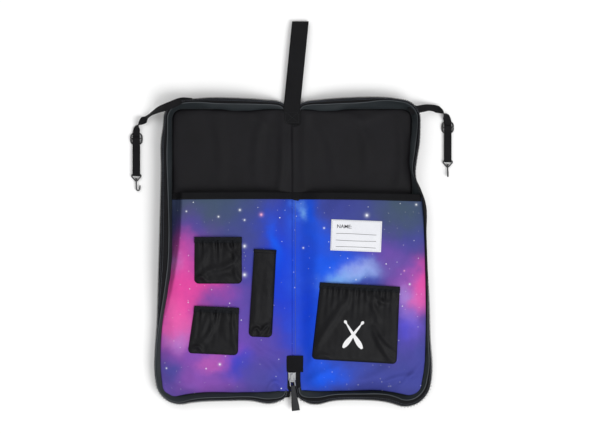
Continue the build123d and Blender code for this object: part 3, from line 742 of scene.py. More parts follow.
def walk(places):
    """Base points and outward directions at places along the walk; x runs away from the spine."""
    places = np.asarray(places, float)
    mirrored = places > WALK_LENGTH / 2
    s = np.where(mirrored, WALK_LENGTH - places, places)
    end_turn = pi - s / END_CORNER
    corner_turn = pi / 2 - (s - END_ARC - TOP_RUN) / CORNER
    on_end, on_top = s < END_ARC, s < END_ARC + TOP_RUN
    on_corner = s < END_ARC + TOP_RUN + CORNER_ARC
    turn = np.select([on_end, on_top, on_corner], [end_turn, pi / 2, corner_turn], 0.0)
    out_x, out_y = np.cos(turn), np.sin(turn)
    end_x, corner_x = END_X + END_CORNER * out_x, OUTER_X - CORNER + CORNER * out_x
    end_y, corner_y = END_Y - END_CORNER + END_CORNER * out_y, END_Y - CORNER + CORNER * out_y
    side_y = END_Y - CORNER - (s - END_ARC - TOP_RUN - CORNER_ARC)
    x = np.select([on_end, on_top, on_corner], [end_x, END_X + s - END_ARC, corner_x], OUTER_X)
    y = np.select([on_end, on_top, on_corner], [end_y, END_Y, corner_y], side_y)
    flip = np.where(mirrored, -1, 1)
    return np.stack([x, y * flip], -1), np.stack([out_x, out_y * flip], -1)


WALK = np.linspace(0, WALK_LENGTH, 420)
print(f"the way round a half is {WALK_LENGTH:.0f} mm")

# %% [markdown]
# An opened soft wall never stands the same all the way round. The numbers below are given in
# millimetres out from the edge of the back panel: where the zipper's edge reaches, where the seam between
# wall and zipper tape lies, and where the printed cloth meets the wall.

# %% How far the wall leans out
def round_the_half(start=(), top=(), upper=(), side=(), lower=(), bottom=(), end=()):
    """A smooth function of the way round. Each stretch lists (place, value) stops: x along the top and the
    bottom, y along the side, and shares of the arc at the corners and, from the very end, at both ends."""
    stops = [(END_ARC * share, value) for share, value in start]
    for place, values in ((at_top, top), (upper_corner, upper), (at_side, side), (lower_corner, lower),
                          (at_bottom, bottom)):
        stops += [(place(where), value) for where, value in values]
    return through(stops + [(WALK_LENGTH - END_ARC * share, value) for share, value in end])


RIM_OUT = {
    LEFT: round_the_half(
        start=[(0, 2), (0.5, 8), (1, 10)],
        top=[(40, 11.5), (80, 13.5), (125, 14), (152, 12)],
        upper=[(0.5, 10)],
        side=[(188, 10), (168, 13), (120, 13.5), (75, 14.5), (20, 16), (-60, 18.5), (-110, 20.5),
              (-150, 23.5), (-182, 24)],
        lower=[(0.5, 21)],
        bottom=[(150, 15.5), (100, 12.5), (60, 13), (34, 17.5), (24, 16)],
        end=[(0.4, 9), (0, 2)],
    ),
    RIGHT: round_the_half(
        start=[(0, 2), (0.5, 7.5), (1, 9.5)],
        top=[(40, 11.5), (80, 14), (140, 14.5)],
        upper=[(0.5, 10)],
        side=[(185, 9.5), (160, 8.5), (135, 4.5), (115, 2.5), (96, 6), (80, 13), (60, 16), (-20, 20),
              (-80, 23.5), (-130, 25), (-182, 28)],
        lower=[(0.5, 25)],
        bottom=[(140, 14), (100, 11), (60, 13), (36, 18.5), (24, 17)],
        end=[(0.4, 9), (0, 2)],
    ),
}
SEAM_OUT = {
    LEFT: round_the_half(
        start=[(0, -1), (0.5, 1), (1, 2.5)],
        top=[(50, 4), (110, 5), (150, 7)],
        upper=[(0.5, 4)],
        side=[(185, 3.5), (150, 4.5), (75, 2.5), (20, 1.5), (-20, 3), (-60, 8), (-104, 15), (-150, 20.5),
              (-182, 21.5)],
        lower=[(0.5, 17)],
        bottom=[(150, 9.5), (100, 6.5), (60, 6), (32, 9)],
        end=[(0.4, 4), (0, -1)],
    ),
    RIGHT: round_the_half(
        start=[(0, -1), (0.5, 1), (1, 2.5)],
        top=[(50, 4), (110, 7), (140, 10)],
        upper=[(0.5, 6)],
        side=[(185, 5), (150, 1), (115, -1.5), (90, 9.5), (75, 15), (20, 17.5), (-60, 20), (-130, 21),
              (-182, 21.5)],
        lower=[(0.5, 15)],
        bottom=[(150, 4), (100, 1.5), (60, 3), (36, 7)],
        end=[(0.4, 3), (0, -1)],
    ),
}
PRINT_OUT = {
    LEFT: round_the_half(
        side=[(90, -1.5), (20, -0.5), (-20, 1), (-60, 5), (-104, 11), (-150, 14.5), (-182, 14)],
        lower=[(0.5, 9)],
        bottom=[(150, 2), (80, 0), (30, -1)],
        end=[(0, -3)],
    ),
    RIGHT: round_the_half(
        side=[(90, 11), (75, 13), (20, 15.5), (-60, 17.5), (-130, 17.5), (-182, 14.5)],
        lower=[(0.5, 8)],
        bottom=[(150, 0), (80, -2), (30, -2)],
        end=[(0, -4)],
    ),
}
BELLY = {  # how far the wall's slack inner face hangs inwards
    LEFT: round_the_half(
        start=[(0, 0)],
        top=[(30, 1.5), (72, 5.5), (115, 3), (140, 1)],
        side=[(170, 1), (120, 2), (85, 0.3), (0, 0.3)],
        end=[(0, 0.5)],
    ),
    RIGHT: round_the_half(
        start=[(0, 0)],
        top=[(26, 3), (58, 6.5), (92, 2), (120, 0)],
        side=[(180, 2), (150, 5), (120, 3), (90, 0.5)],
        end=[(0, 0.5)],
    ),
}
SEAM_Z = round_the_half(
    start=[(0, 3.6), (0.5, 4.6), (1, 7.5)],
    top=[(45, 15), (90, 18)],
    upper=[(0.5, 18.5)],
    side=[(0, 18)],
    lower=[(0.5, 17.5)],
    bottom=[(90, 15.5), (45, 13)],
    end=[(1, 9), (0, 6.0)],
)
RIM_RISE = {  # the zipper's edge above the seam; where it is low the tape has rolled outwards
    LEFT: round_the_half(
        start=[(0, 0.5), (1, 1.5)],
        top=[(60, 5.5), (140, 6.5)],
        side=[(120, 6.5), (20, 6), (-60, 3.5), (-110, -1.5), (-150, -5.5), (-190, -6)],
        bottom=[(140, -2), (80, 1.5), (30, -1.5)],
        end=[(0, -0.5)],
    ),
    RIGHT: round_the_half(
        start=[(0, 0.5), (1, 1.5)],
        top=[(60, 5.5), (140, 6.5)],
        side=[(120, 7), (70, 4), (0, 2), (-100, 1), (-190, -2)],
        bottom=[(140, 1.5), (80, 3), (30, -1)],
        end=[(0, -0.5)],
    ),
}


def stand(side, places, out, height):
    """Points that stand out from the walk: rows along it, and one column for each of out and height."""
    base, outward = walk(places)
    flat = base[:, None] + outward[:, None] * out[..., None]
    height = np.broadcast_to(height, out.shape)
    return np.stack([flat[..., 0] * side, flat[..., 1], height], -1)


WALL_TUCK = 2.2  # how far inside the panel's edge the wall's lining starts


def inner_face(side, places, share):
    """Out and height of the wall's inner face; share runs from 0 at the lining to 1 at the seam."""
    places, share = np.asarray(places, float), np.asarray(share, float)
    out = -WALL_TUCK + (SEAM_OUT[side](places) + WALL_TUCK) * share - BELLY[side](places) * np.sin(pi * share)
    return out, LINING_TOP - 0.2 + (SEAM_Z(places) - LINING_TOP + 0.2) * share**0.85


def wall_height(side, places, out):
    """Height of the wall's inner face where it has reached `out`."""
    share = np.clip((out + WALL_TUCK) / np.maximum(SEAM_OUT[side](places) + WALL_TUCK, 1.0), 0, 1)
    return inner_face(side, places, share)[1]


print("seam height by the side:", float(SEAM_Z(at_side(0))))

# %% [markdown]
# Each cloth piece that reaches over the fold between spine and half goes through one helper, which bakes its
# place into its mesh. The piece is not blended between spine and half, and does not bend there.

# %% Which body a piece follows
BEND_IN, BEND_OUT = 13.0, 33.0  # where a bend between spine and half would start and end, off the middle; the cloth is not bent


def over_the_fold(piece, side):
    """Bakes a piece's place into its mesh. The bend's start and end are worked out but not used, so the piece
    is not bent.
    """
    start, end = (side * BEND_IN * MM, 0, HINGE_Z * MM), (side * BEND_OUT * MM, 0, HINGE_Z * MM)
    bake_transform(piece)
    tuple(start)
    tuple(end)
    return piece


def on_body(piece, body):
    """A piece that moves with one body."""
    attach(piece, body)
    return piece


print("the cloth bends from", BEND_IN, "to", BEND_OUT, "mm off the middle")

# %% [markdown]
# ## Panels
# Behind everything lies the outer cloth, then foam, then the lining. A rounded corner is laid out by pulling
# the square corner of a grid in to a quarter circle, which keeps the cloth in one piece.

# %% Outer cloth and foam
def round_corner(x, y, middle_x, middle_y, sign_y):
    """Pulls grid points beyond a corner's middle on to a quarter disc."""
    dx, dy = np.maximum(x - middle_x, 0), np.maximum((y - middle_y) * sign_y, 0)
    length = np.maximum(np.hypot(dx, dy), 1e-9)
    pull = np.maximum(dx, dy) / length
    inside = (dx > 0) & (dy > 0)
    new_x, new_y = middle_x + dx * pull, middle_y + sign_y * dy * pull
    return np.where(inside, new_x, x), np.where(inside, new_y, y)


def half_grid(x_in, x_out, y_low, y_high, step, corner):
    """A grid over one half, with x away from the spine and round outer corners."""
    x = np.linspace(x_in, x_out, int((x_out - x_in) / step) + 2)
    y = np.linspace(y_low, y_high, int((y_high - y_low) / step) + 2)
    x, y = np.meshgrid(x, y)
    x, y = round_corner(x, y, x_out - corner, y_low + corner, -1)
    return round_corner(x, y, x_out - corner, y_high - corner, 1)


OUTER_THICK, FLOOR_GAP = 0.8, 0.12


def make_outer_cloth(side):
    x, y = half_grid(0, OUTER_X, -END_Y, END_Y, 5.0, CORNER)
    lift = 0.9 + 0.12 * ripples(x, y, 55, 3) - 0.25 * np.exp(-(((x - HINGE_X) / 2.5) ** 2))
    points = np.stack([x * side, y, np.maximum(lift, OUTER_THICK) + FLOOR_GAP], -1)
    name = f"{NAMES[side]}_outer_cloth"
    piece = lay_cloth(name, points, points[..., :2], SHELL, OUTER_THICK, flip=side < 0)
    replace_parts(piece, f"{NAMES[side]}_shell", *(["spine_shell"] if side < 0 else []))
    return over_the_fold(piece, side)


def make_padding(name, x, y, body):
    """A foam board: two faces that meet in a rounded edge."""
    low, high = 1.15, FOAM_TOP + 0.25
    middle = (low + high) / 2
    rows, cols = x.shape
    rim = np.zeros((rows, cols), bool)
    rim[0], rim[-1], rim[:, 0], rim[:, -1] = True, True, True, True
    upper = np.stack([x, y, np.where(rim, middle, high)], -1).reshape(-1, 3)
    lower = np.stack([x, y, np.where(rim, middle, low)], -1).reshape(-1, 3)
    faces = grid_faces(rows, cols)
    below = {k: rows * cols + k for k in range(rows * cols)}
    below.update({int(k): int(k) for k in np.flatnonzero(rim.ravel())})
    used = sorted(set(range(rows * cols)) | set(below.values()))
    order = {old: new for new, old in enumerate(used)}
    points = np.vstack([upper, lower])[used]
    faces = [[order[v] for v in f] for f in faces] + [[order[below[v]] for v in f[::-1]] for f in faces]
    piece = new_piece(name, points, faces, LINING, points[:, :2])
    return on_body(piece, body)


PAD_INSET, PAD_GAP = 2.6, 0.6  # from the panel's edge, and from the hinge line
for side in (LEFT, RIGHT):
    make_outer_cloth(side)
    low, high = PAD_INSET - END_Y, END_Y - PAD_INSET
    x, y = half_grid(HINGE_X + PAD_GAP, OUTER_X - PAD_INSET, low, high, 9.0, CORNER - PAD_INSET)
    pad = make_padding(f"{NAMES[side]}_padding", x * side, y, f"{NAMES[side]}_half")
    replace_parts(pad, f"{NAMES[side]}_foam")
spine_x = np.linspace(PAD_GAP - HINGE_X, HINGE_X - PAD_GAP, 8)
x, y = np.meshgrid(spine_x, np.linspace(1 - END_Y, END_Y - 1, 48))
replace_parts(make_padding("spine_padding", x, y, "spine"), "spine_foam")
print("outer cloth and foam laid")

# %% [markdown]
# The lining shows above the stick pocket, where it is slack and softly creased along the spine. It is black
# on black, so its folds are a little deeper than they would be in a pale cloth.

# %% Lining
LINING_FOLDS = [  # start, middle, end, width and height of each drag in the slack lining
    ((-36, 206), (-60, 170), (-52, 100), 8, 3.0),
    ((30, 205), (62, 182), (64, 110), 9, 3.0),
    ((70, 208), (96, 186), (132, 204), 8, 2.4),
    ((90, 204), (118, 178), (112, 120), 8, 2.6),
    ((-120, 202), (-100, 160), (-108, 100), 9, 2.6),
    ((158, 196), (172, 160), (160, 96), 7, 3.6),
    ((-16, 168), (-8, 130), (-20, 92), 5, 2.2),
    ((-70, 206), (-40, 196), (-30, 176), 6, 2.2),
]


def lining_height(x, y):
    """Height of the lining; x runs across both halves."""
    slack = smooth_step(y, 40, 110)
    soft = 1.3 + 0.9 * ripples(x, y, 80, 11) + 0.5 * ripples(x, y * 0.4, 30, 12)
    spine_fold = 2.6 * np.exp(-(((x + 15 + 3 * np.sin(y / 40)) / 7) ** 2))
    spine_fold += 2.0 * np.exp(-(((x - 20 - 2 * np.sin(y / 30)) / 6) ** 2))
    drags = sum(fold(x, y, *drag) for drag in LINING_FOLDS)
    return LINING_TOP + 0.35 + slack * np.maximum(soft + spine_fold + drags, 0)


def make_lining(side):
    far, high = OUTER_X - 1.8, END_Y - 1.5
    x, y = half_grid(0, far, 3 - END_Y, high, 3.4, CORNER - 2)
    height = lining_height(x * side, y)
    edge = smooth_step(np.minimum(far - x, high - y), 0, 6)
    height = LINING_TOP + 0.1 + (height - LINING_TOP - 0.1) * edge
    points = np.stack([x * side, y, height], -1)
    piece = lay_cloth(f"{NAMES[side]}_lining_cloth", points, points[..., :2], LINING, 0.5, flip=side < 0)
    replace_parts(piece, f"{NAMES[side]}_lining", *(["spine_lining"] if side < 0 else []))
    return over_the_fold(piece, side)


for side in (LEFT, RIGHT):
    print("made", make_lining(side).name)

# %% [markdown]
# ## Side walls
# A wall is two cloths sewn together along the rim seam: the outer one goes down to the back panel on the
# outside, and the slack inner one to the lining. Both are grids whose rows follow the walk.

# %% Wall cloths, seam cord and zipper tape
COIL_PITCH, COIL_STEPS, COIL_END = 2.1, 8, 7  # length and points of a turn, and where the coil stops short


def make_wall(side):
    name = NAMES[side]
    share = np.linspace(0, 1, 10)[None, :]
    out, height = inner_face(side, WALK[:, None], share)
    tall = smooth_step(SEAM_Z(WALK), 7, 15)[:, None]
    slack = 0.7 * ripples(WALK[:, None], share * 25, 34, 21 + side) * np.sin(pi * share) * tall
    points = stand(side, WALK, out - slack, height)
    cut = np.stack(np.broadcast_arrays(share * 20, WALK[:, None]), -1)
    inside = lay_cloth(f"{name}_wall_lining", points, cut, WALL_CLOTH, 0.5, flip=side > 0)
    over_the_fold(inside, side)

    seam_out, seam_z = SEAM_OUT[side](WALK)[:, None], SEAM_Z(WALK)[:, None]
    out = 0.1 + (seam_out + 1.5) * share + 1.2 * np.sin(pi * share)
    out += 0.5 * ripples(WALK[:, None], share * 25, 45, 31 + side) * np.sin(pi * share)
    points = stand(side, WALK, out, 0.25 + (seam_z - 0.7) * share)
    outside = lay_cloth(f"{name}_wall_outside", points, cut, SHELL, 0.9, flip=side < 0)
    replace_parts(outside, f"{name}_gusset", *(["spine_gusset_ends"] if side < 0 else []))
    over_the_fold(outside, side)

    # the seam cord is the real folded edge, and its pale grey is a painted highlight along it
    path = stand(side, WALK, seam_out + 0.3, seam_z + 0.3)[:, 0]
    cord = sweep(f"{name}_seam_highlight_edge", path, (0, 0, 1), ring_section(0.75, 6), SEAM_HIGHLIGHT)
    over_the_fold(cord, side)


def rim_point(side, places, share):
    """Out and height on the zipper tape, from 0 at the seam to 1 at its free edge."""
    start, end = SEAM_OUT[side](places) + 0.8, RIM_OUT[side](places) - 1.2
    low = SEAM_Z(places) - 0.1
    top = np.minimum(low + RIM_RISE[side](places), RIM_Z - 2.2)
    crown = np.where(RIM_RISE[side](places) < 0, 1.8, 0.8)
    sag = crown * np.sin(pi * share)
    return start + (end - start) * share, low + (top - low) * share**1.2 + sag


def make_zipper(side):
    name = NAMES[side]
    share = np.linspace(0, 1, 8)[None, :]
    out, height = rim_point(side, WALK[:, None], share)
    wave = 0.45 * ripples(WALK[:, None], share * 8, 38, 41 + side) * share
    ridge = 0.35 * np.exp(-(((share - 0.72) / 0.1) ** 2))
    points = stand(side, WALK, out, height + (wave + ridge) * smooth_step(SEAM_Z(WALK), 7, 15)[:, None])
    cut = np.stack(np.broadcast_arrays(share * 11, WALK[:, None]), -1)
    tape = lay_cloth(f"{name}_zip_tape", points, cut, TAPE, 0.6, flip=side > 0)
    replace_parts(tape, f"{name}_zipper_tape")
    over_the_fold(tape, side)

    rows = []
    for across in (0.6, 0.84):
        out, height = rim_point(side, WALK[:, None], np.array([[across]]))
        rows.append(stand(side, WALK, out, height + 0.25)[:, 0])
    over_the_fold(sew(f"{name}_zip_stitches", rows, THREAD_GREY, 0.2, 2.2, 0.1), side)

    reach = WALK_LENGTH - 2 * COIL_END
    count = int(reach / COIL_PITCH * COIL_STEPS)
    places = COIL_END + np.linspace(0, reach, count)
    out, height = rim_point(side, places[:, None], np.array([[1.0]]))
    turn = np.arange(count) * 2 * pi / COIL_STEPS
    out = out[:, 0] + 0.35 + 1.15 * np.cos(turn)
    height = height[:, 0] - 0.5 + 0.85 * np.sin(turn)
    path = stand(side, places, out[:, None], height[:, None])[:, 0]
    coil = sweep(f"{name}_zip_coil", path, (0, 0, 1), ring_section(0.34, 5), COIL)
    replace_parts(coil, f"{name}_zipper_coil")
    over_the_fold(coil, side)


for side in (LEFT, RIGHT):
    make_wall(side)
    make_zipper(side)
print("walls and zipper stand round both halves")

# %% [markdown]
# ## The stick pocket
# The printed cloth is one wide pocket, sewn down at the spine, the bottom and the sides, and open towards
# the handle. Empty, it keeps the puffed shape that the sticks gave it. Its height is one function of x and
# y, because the label and the small pockets have to lie on the same cloth. A simulation would find other
# folds on each run of its settings, while here the drawn-in corners have known places, so they are drawn.

# %% Height of the printed cloth
SEW_LINE_X = 5.0  # the row of stitches down the spine
PLEAT_TOP, PLEAT_END = (-165.5, 80.0), (-195.5, -120.0)  # the fold line of the pleat at the left side
PLEAT_DEEP = 10.0


def print_edge(side, x, y):
    """How far inside the printed cloth's outer edge a point is, and that edge's height. x runs outwards."""
    side_place = at_side(np.clip(y, -END_Y + CORNER, END_Y))
    bottom_place = at_bottom(np.clip(x, END_X, OUTER_X - CORNER))
    side_out, bottom_out = PRINT_OUT[side](side_place), PRINT_OUT[side](bottom_place)
    from_side, from_bottom = OUTER_X + side_out - x, y + END_Y + bottom_out
    side_z = wall_height(side, side_place, side_out) + 0.3
    bottom_z = wall_height(side, bottom_place, bottom_out) + 0.3
    near_side = smooth_step(from_bottom - from_side, -12, 12)
    corner = np.hypot(np.maximum(30 - from_side, 0), np.maximum(30 - from_bottom, 0))
    further = np.minimum(np.maximum(from_side - 30, 0), np.maximum(from_bottom - 30, 0))
    distance = np.maximum(30 - corner, 0) + further
    return distance, bottom_z + (side_z - bottom_z) * near_side


PRINT_FOLDS = [  # drags from the corners and from the patch at the spine's lower end
    ((-36, -211), (-26, -184), (-13, -212), 4.0, 6.5),
    ((-62, -131), (-48, -152), (-18, -160), 5.0, 3.4),
    ((-52, -158), (-30, -168), (-14, -196), 5.5, 4.0),
    ((-150, -176), (-110, -176), (-60, -196), 8.0, 2.8),
    ((-190, -188), (-166, -200), (-140, -212), 6.0, 3.6),
    ((-128, -164), (-96, -190), (-84, -212), 8.0, 2.2),
    ((-150, -160), (-140, -186), (-150, -208), 8.0, 2.0),
    ((-178, -90), (-170, -128), (-186, -170), 9.0, 2.0),
    ((126, -208), (142, -188), (200, -186), 4.2, 4.2),
    ((158, -206), (176, -192), (198, -166), 4.5, 4.0),
    ((70, -210), (116, -198), (152, -172), 8.0, 3.6),
    ((20, -200), (44, -184), (78, -172), 7.0, 3.6),
    ((18, -178), (36, -166), (30, -140), 6.0, 2.6),
    ((176, -60), (190, -110), (184, -160), 8.0, 2.0),
    ((-92, 66), (-60, 40), (-54, 8), 9.0, 1.4),
]


def print_height(x, y):
    """Height of the printed cloth at x across both halves."""
    x, y = np.broadcast_arrays(np.asarray(x, float), np.asarray(y, float))
    left_rise, right_rise = smooth_step(-x, -1, 38), smooth_step(x, SEW_LINE_X + 5, 42)
    rise = np.where(x < SEW_LINE_X, left_rise, right_rise)
    valley = LINING_TOP + 1.3
    inner = valley + (PLATEAU_Z + 0.4 - valley) * rise**0.9
    height = inner
    for side in (LEFT, RIGHT):
        distance, edge_z = print_edge(side, np.abs(x), y)
        puffed = edge_z + (inner - edge_z) * smooth_step(distance, -6, 20) ** 0.8
        near = np.clip((np.abs(x) - 6) / 16, 0, 1)
        height = np.where((x * side) > 0, height + (puffed - height) * near, height)
    soft = 0.75 * ripples(x, y, 75, 51) + 0.3 * ripples(x, y, 24, 52)
    quiet = 1 - 0.85 * smooth_step(1.2 - np.hypot((x - 96) / 45, (y - 22) / 30), 0, 0.3)  # under the label
    drags = sum(fold(x, y, *drag) for drag in PRINT_FOLDS)
    height = height + (soft * quiet + drags) * np.clip(rise * 1.5, 0.15, 1)
    return np.minimum(height, PLATEAU_Z + 4.0)


def pleat_line(y):
    """Where the front's fold stands, at the left side, and how deep the pleat behind it is."""
    share = np.clip((PLEAT_TOP[1] - y) / (PLEAT_TOP[1] - PLEAT_END[1]), 0, 1.1)
    line = PLEAT_TOP[0] + (PLEAT_END[0] - PLEAT_TOP[0]) * share**2
    return line, PLEAT_DEEP * (1 - smooth_step(share, 0.25, 1.05))


def pocket_height(x, y):
    """Height of the pocket's front, with the pleat at its left side."""
    line, depth = pleat_line(y)
    crest = 0.07 * depth * np.exp(-(((x - line - 1.5) / 2) ** 2))
    front = print_height(x, y)
    behind = np.maximum(front - depth, LINING_TOP + 1.1)
    return front + (behind - front) * smooth_step(line - x, 0.2, 2.8) + crest


print("the pocket stands", float(pocket_height(-100.0, 0.0)), "mm high at the left")

# %% [markdown]
# The grid of the printed cloth is stretched out to the edge line and pulled round the lower corner. Its
# columns are close enough to hold the pleat's fold.

# %% Printed cloth and the binding of its mouth
MOUTH_DIP = {LEFT: through([(0, 0), (60, 0.3), (182, -0.4)]),
             RIGHT: through([(0, 0), (100, -0.8), (200, -3.4)])}


def make_print_cloth(side):
    x, y = half_grid(0, OUTER_X, -END_Y, MOUTH_Y + 60, 1.9, CORNER)
    keep = y[:, 0] <= MOUTH_Y - 0.5
    x, y = x[keep], y[keep]
    out_side = PRINT_OUT[side](at_side(np.clip(y, -END_Y + CORNER, END_Y)))
    out_bottom = PRINT_OUT[side](at_bottom(np.clip(x, END_X, OUTER_X - CORNER)))
    x = x + out_side * smooth_step(x, 120, OUTER_X)
    y = y - out_bottom * smooth_step(-y, 150, END_Y)
    y = y + MOUTH_DIP[side](x) * smooth_step(y, MOUTH_Y - 60, MOUTH_Y)
    points = np.stack([x * side, y, pocket_height(x * side, y)], -1)
    name = f"{NAMES[side]}_print_cloth"
    piece = lay_cloth(name, points, points[..., :2], SKY, 0.5, flip=side < 0)
    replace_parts(piece, f"{NAMES[side]}_stick_pocket", *(["spine_pocket_strip"] if side < 0 else []))
    return over_the_fold(piece, side)


BINDING_TALL = 10.6


def make_mouth_binding(side):
    """A tape folded over the pocket's upper edge, down both faces."""
    far = OUTER_X + PRINT_OUT[side](at_side(MOUTH_Y)) - 0.6
    x = np.linspace(0, far, 130)
    turn = np.linspace(-pi / 2, pi / 2, 5)
    run = np.linspace(BINDING_TALL, 1.5, 5)
    down = np.r_[-run, -0.9 + 0.9 * np.cos(turn[1:-1]), -run[::-1]]
    lift = np.r_[np.full(5, -1.0), np.sin(turn[1:-1]) * 0.85, np.full(5, 0.75)]
    y = MOUTH_Y + 0.6 + down[None, :] + MOUTH_DIP[side](x)[:, None]
    base = pocket_height(side * x[:, None], np.minimum(y, MOUTH_Y))
    pucker = 0.12 * ripples(x[:, None], y, 9, 61) * (lift[None, :] > 0)
    points = np.stack([np.broadcast_to(side * x[:, None], y.shape), y, base + lift + pucker], -1)
    round_it = np.cumsum(np.r_[0, np.abs(np.diff(down))])[None, :]
    cut = np.stack(np.broadcast_arrays(x[:, None], round_it), -1)
    faces = grid_faces(*points.shape[:2], flip=side < 0)
    piece = new_piece(f"{NAMES[side]}_mouth_binding", points, faces, BINDING, cut)
    thicken(piece, 0.35, 0)
    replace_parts(piece, f"{NAMES[side]}_pocket_binding", *(["spine_pocket_binding"] if side < 0 else []))
    over_the_fold(piece, side)
    x = np.linspace(1, far - 1, 160)
    y = MOUTH_Y - BINDING_TALL + 2.2 + MOUTH_DIP[side](x)
    row = np.stack([side * x, y, pocket_height(side * x, y) + 0.95], -1)
    over_the_fold(sew(f"{NAMES[side]}_binding_stitches", [row], THREAD_BLACK, 0.25), side)


for side in (LEFT, RIGHT):
    make_print_cloth(side)
    make_mouth_binding(side)
y = np.linspace(MOUTH_Y - BINDING_TALL - 1, -156, 240)
seam = np.stack([np.full_like(y, SEW_LINE_X), y, pocket_height(SEW_LINE_X, y) + 0.15], -1)
on_body(sew("spine_sewing", [seam], THREAD_GREY, 0.3), "spine")
print("the printed pocket is sewn down along the spine")

# %% [markdown]
# ## Small pockets
# Each small pocket is its own patch of stretch cloth. An elastic hem gathers its mouth, so short pleats fan
# out below it, and the cloth draws in to its sewn corners. A patch is a grid in its own frame: `a` runs
# across from -1 to 1 and `b` down from the mouth. Its long folds are listed for each pocket.

# %% Small pockets
PATCH_PUFF, PATCH_CORNER = 3.9, 7  # how far the cloth stands off, and the radius of its lower corners
ROOM, EASE = 28.3, 2  # how high cloth may reach when the bag is shut, and over what height it eases off
HEM_TALL, PLAIN_HEM_TALL, TAKE_UP = 8.6, 5.0, 1.05  # hem heights, and the cloth that the folds take up


def under_the_lid(height):
    """Eases heights off below the room that the other half leaves."""
    above = np.maximum(height - ROOM + EASE, 0)
    return np.where(height > ROOM - EASE, ROOM - EASE * np.exp(-above / EASE), height)


class Patch:
    """A small pocket's shape: its middle, its widths at mouth and bottom, height, turn, gathers and folds."""

    def __init__(self, name, middle, mouth, bottom, tall, turn, gathers, folds, shift=0.0):
        self.name, self.middle, self.mouth, self.bottom, self.tall = name, middle, mouth, bottom, tall
        self.turn, self.gathers, self.folds, self.shift = radians(turn), gathers, folds, shift

    def place(self, a, b):
        """x and y on the bag. The lower corners are rounded."""
        half = (self.mouth + (self.bottom - self.mouth) * b) / 2
        u, v = np.abs(a) * half, b * self.tall
        u, v = round_corner(u, -v, half - PATCH_CORNER, PATCH_CORNER - self.tall, -1)
        u = np.sign(a) * u + self.shift * b
        v = v + self.tall / 2
        return *turned(u, v, self.turn, self.middle), u, v

    def puff(self, a, b, u, v):
        """Height of the cloth above the bag's cloth."""
        edge = np.clip((1 - np.abs(a) ** 5) * (1 - np.clip(b, 0, 1) ** 9), 0, 1)
        below = np.clip(b * self.tall - 8, 0, None)
        pleats = np.sin(a * pi * self.gathers + 0.9 * np.sin(a * 9))
        pleats = pleats * np.exp(-below / 15) * (b * self.tall > 5)
        crush = 0.45 * ripples(u, v, 24, len(self.name)) + 0.25 * ripples(u, v * 0.6, 9, 7)
        total = PATCH_PUFF * edge**0.45 + edge * ((2.1 * pleats if self.gathers else 0) + crush)
        for start, middle, end, width, height in self.folds:
            total = total + edge**0.4 * fold(u, v, start, middle, end, width, 1.7 * height)
        return np.maximum(total, 0.35 * edge) + 0.1

    def surface(self, a, b, lift=0.0):
        x, y, u, v = self.place(a, b)
        height = under_the_lid(pocket_height(x, y) + self.puff(a, b, u, v))
        return np.stack([x, y, height + lift], -1), np.stack([u, v], -1)


def make_patch(patch, side, nodes):
    body, under = f"{NAMES[side]}_half", f"{NAMES[side]}_print_cloth"
    rows = 84 if patch.tall < 130 else 130
    across, down = np.meshgrid(np.linspace(-1, 1, 84), np.linspace(0, 1, rows))
    points, cut = patch.surface(across, down)
    points[:, [0, -1], 2] -= 0.5
    points[-1, :, 2] -= 0.5
    front = lay_cloth(f"{patch.name}_front", points, cut, POCKET, 0.45, flip=True)
    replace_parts(front, patch.name)
    on_body(front, body)

    tall = HEM_TALL if patch.gathers else PLAIN_HEM_TALL
    turn = np.linspace(-pi / 2, pi / 2, 7)
    bend_down, bend_lift = 0.9 - 0.9 * np.cos(turn[1:-1]), 0.9 * np.sin(turn[1:-1])
    down_mm = np.r_[np.linspace(tall, 1.2, 6), bend_down, np.linspace(1.2, tall, 8)]
    lift = np.r_[np.full(6, -0.9), bend_lift, np.linspace(1.0, 1.35, 4), np.linspace(1.3, 0.7, 4)]
    a = np.linspace(-1, 1, 150)[:, None]
    points, cut = patch.surface(a + 0 * lift, (down_mm / patch.tall)[None, :] + 0 * a)
    gather = 0.22 * np.sin(a * patch.mouth * pi / 3.2 + np.sin(a * 31)) if patch.gathers else 0 * a
    points[..., 2] += lift[None, :] + gather * (lift[None, :] > 0)
    hem = new_piece(f"{patch.name}_hem_band", points, grid_faces(*points.shape[:2], flip=True),
                    ELASTIC if patch.gathers else POCKET, cut)
    thicken(hem, 0.3, 0)
    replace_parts(hem, *nodes)
    on_body(hem, body)

    down_side, all_across = np.linspace(0.02, 0.93, 60), np.linspace(-0.93, 0.93, 90)
    edge = [patch.surface(np.full(60, sign * 0.955), down_side, 0.15)[0] for sign in (-1, 1)]
    edge.append(patch.surface(all_across, np.full(90, 1 - 2.2 / patch.tall), 0.15)[0])
    if patch.gathers:
        edge.append(patch.surface(all_across, np.full(90, 6.9 / patch.tall), 1.15)[0])
    on_body(sew(f"{patch.name}_stitches", edge, THREAD_BLACK, 0.26), body)
    return front


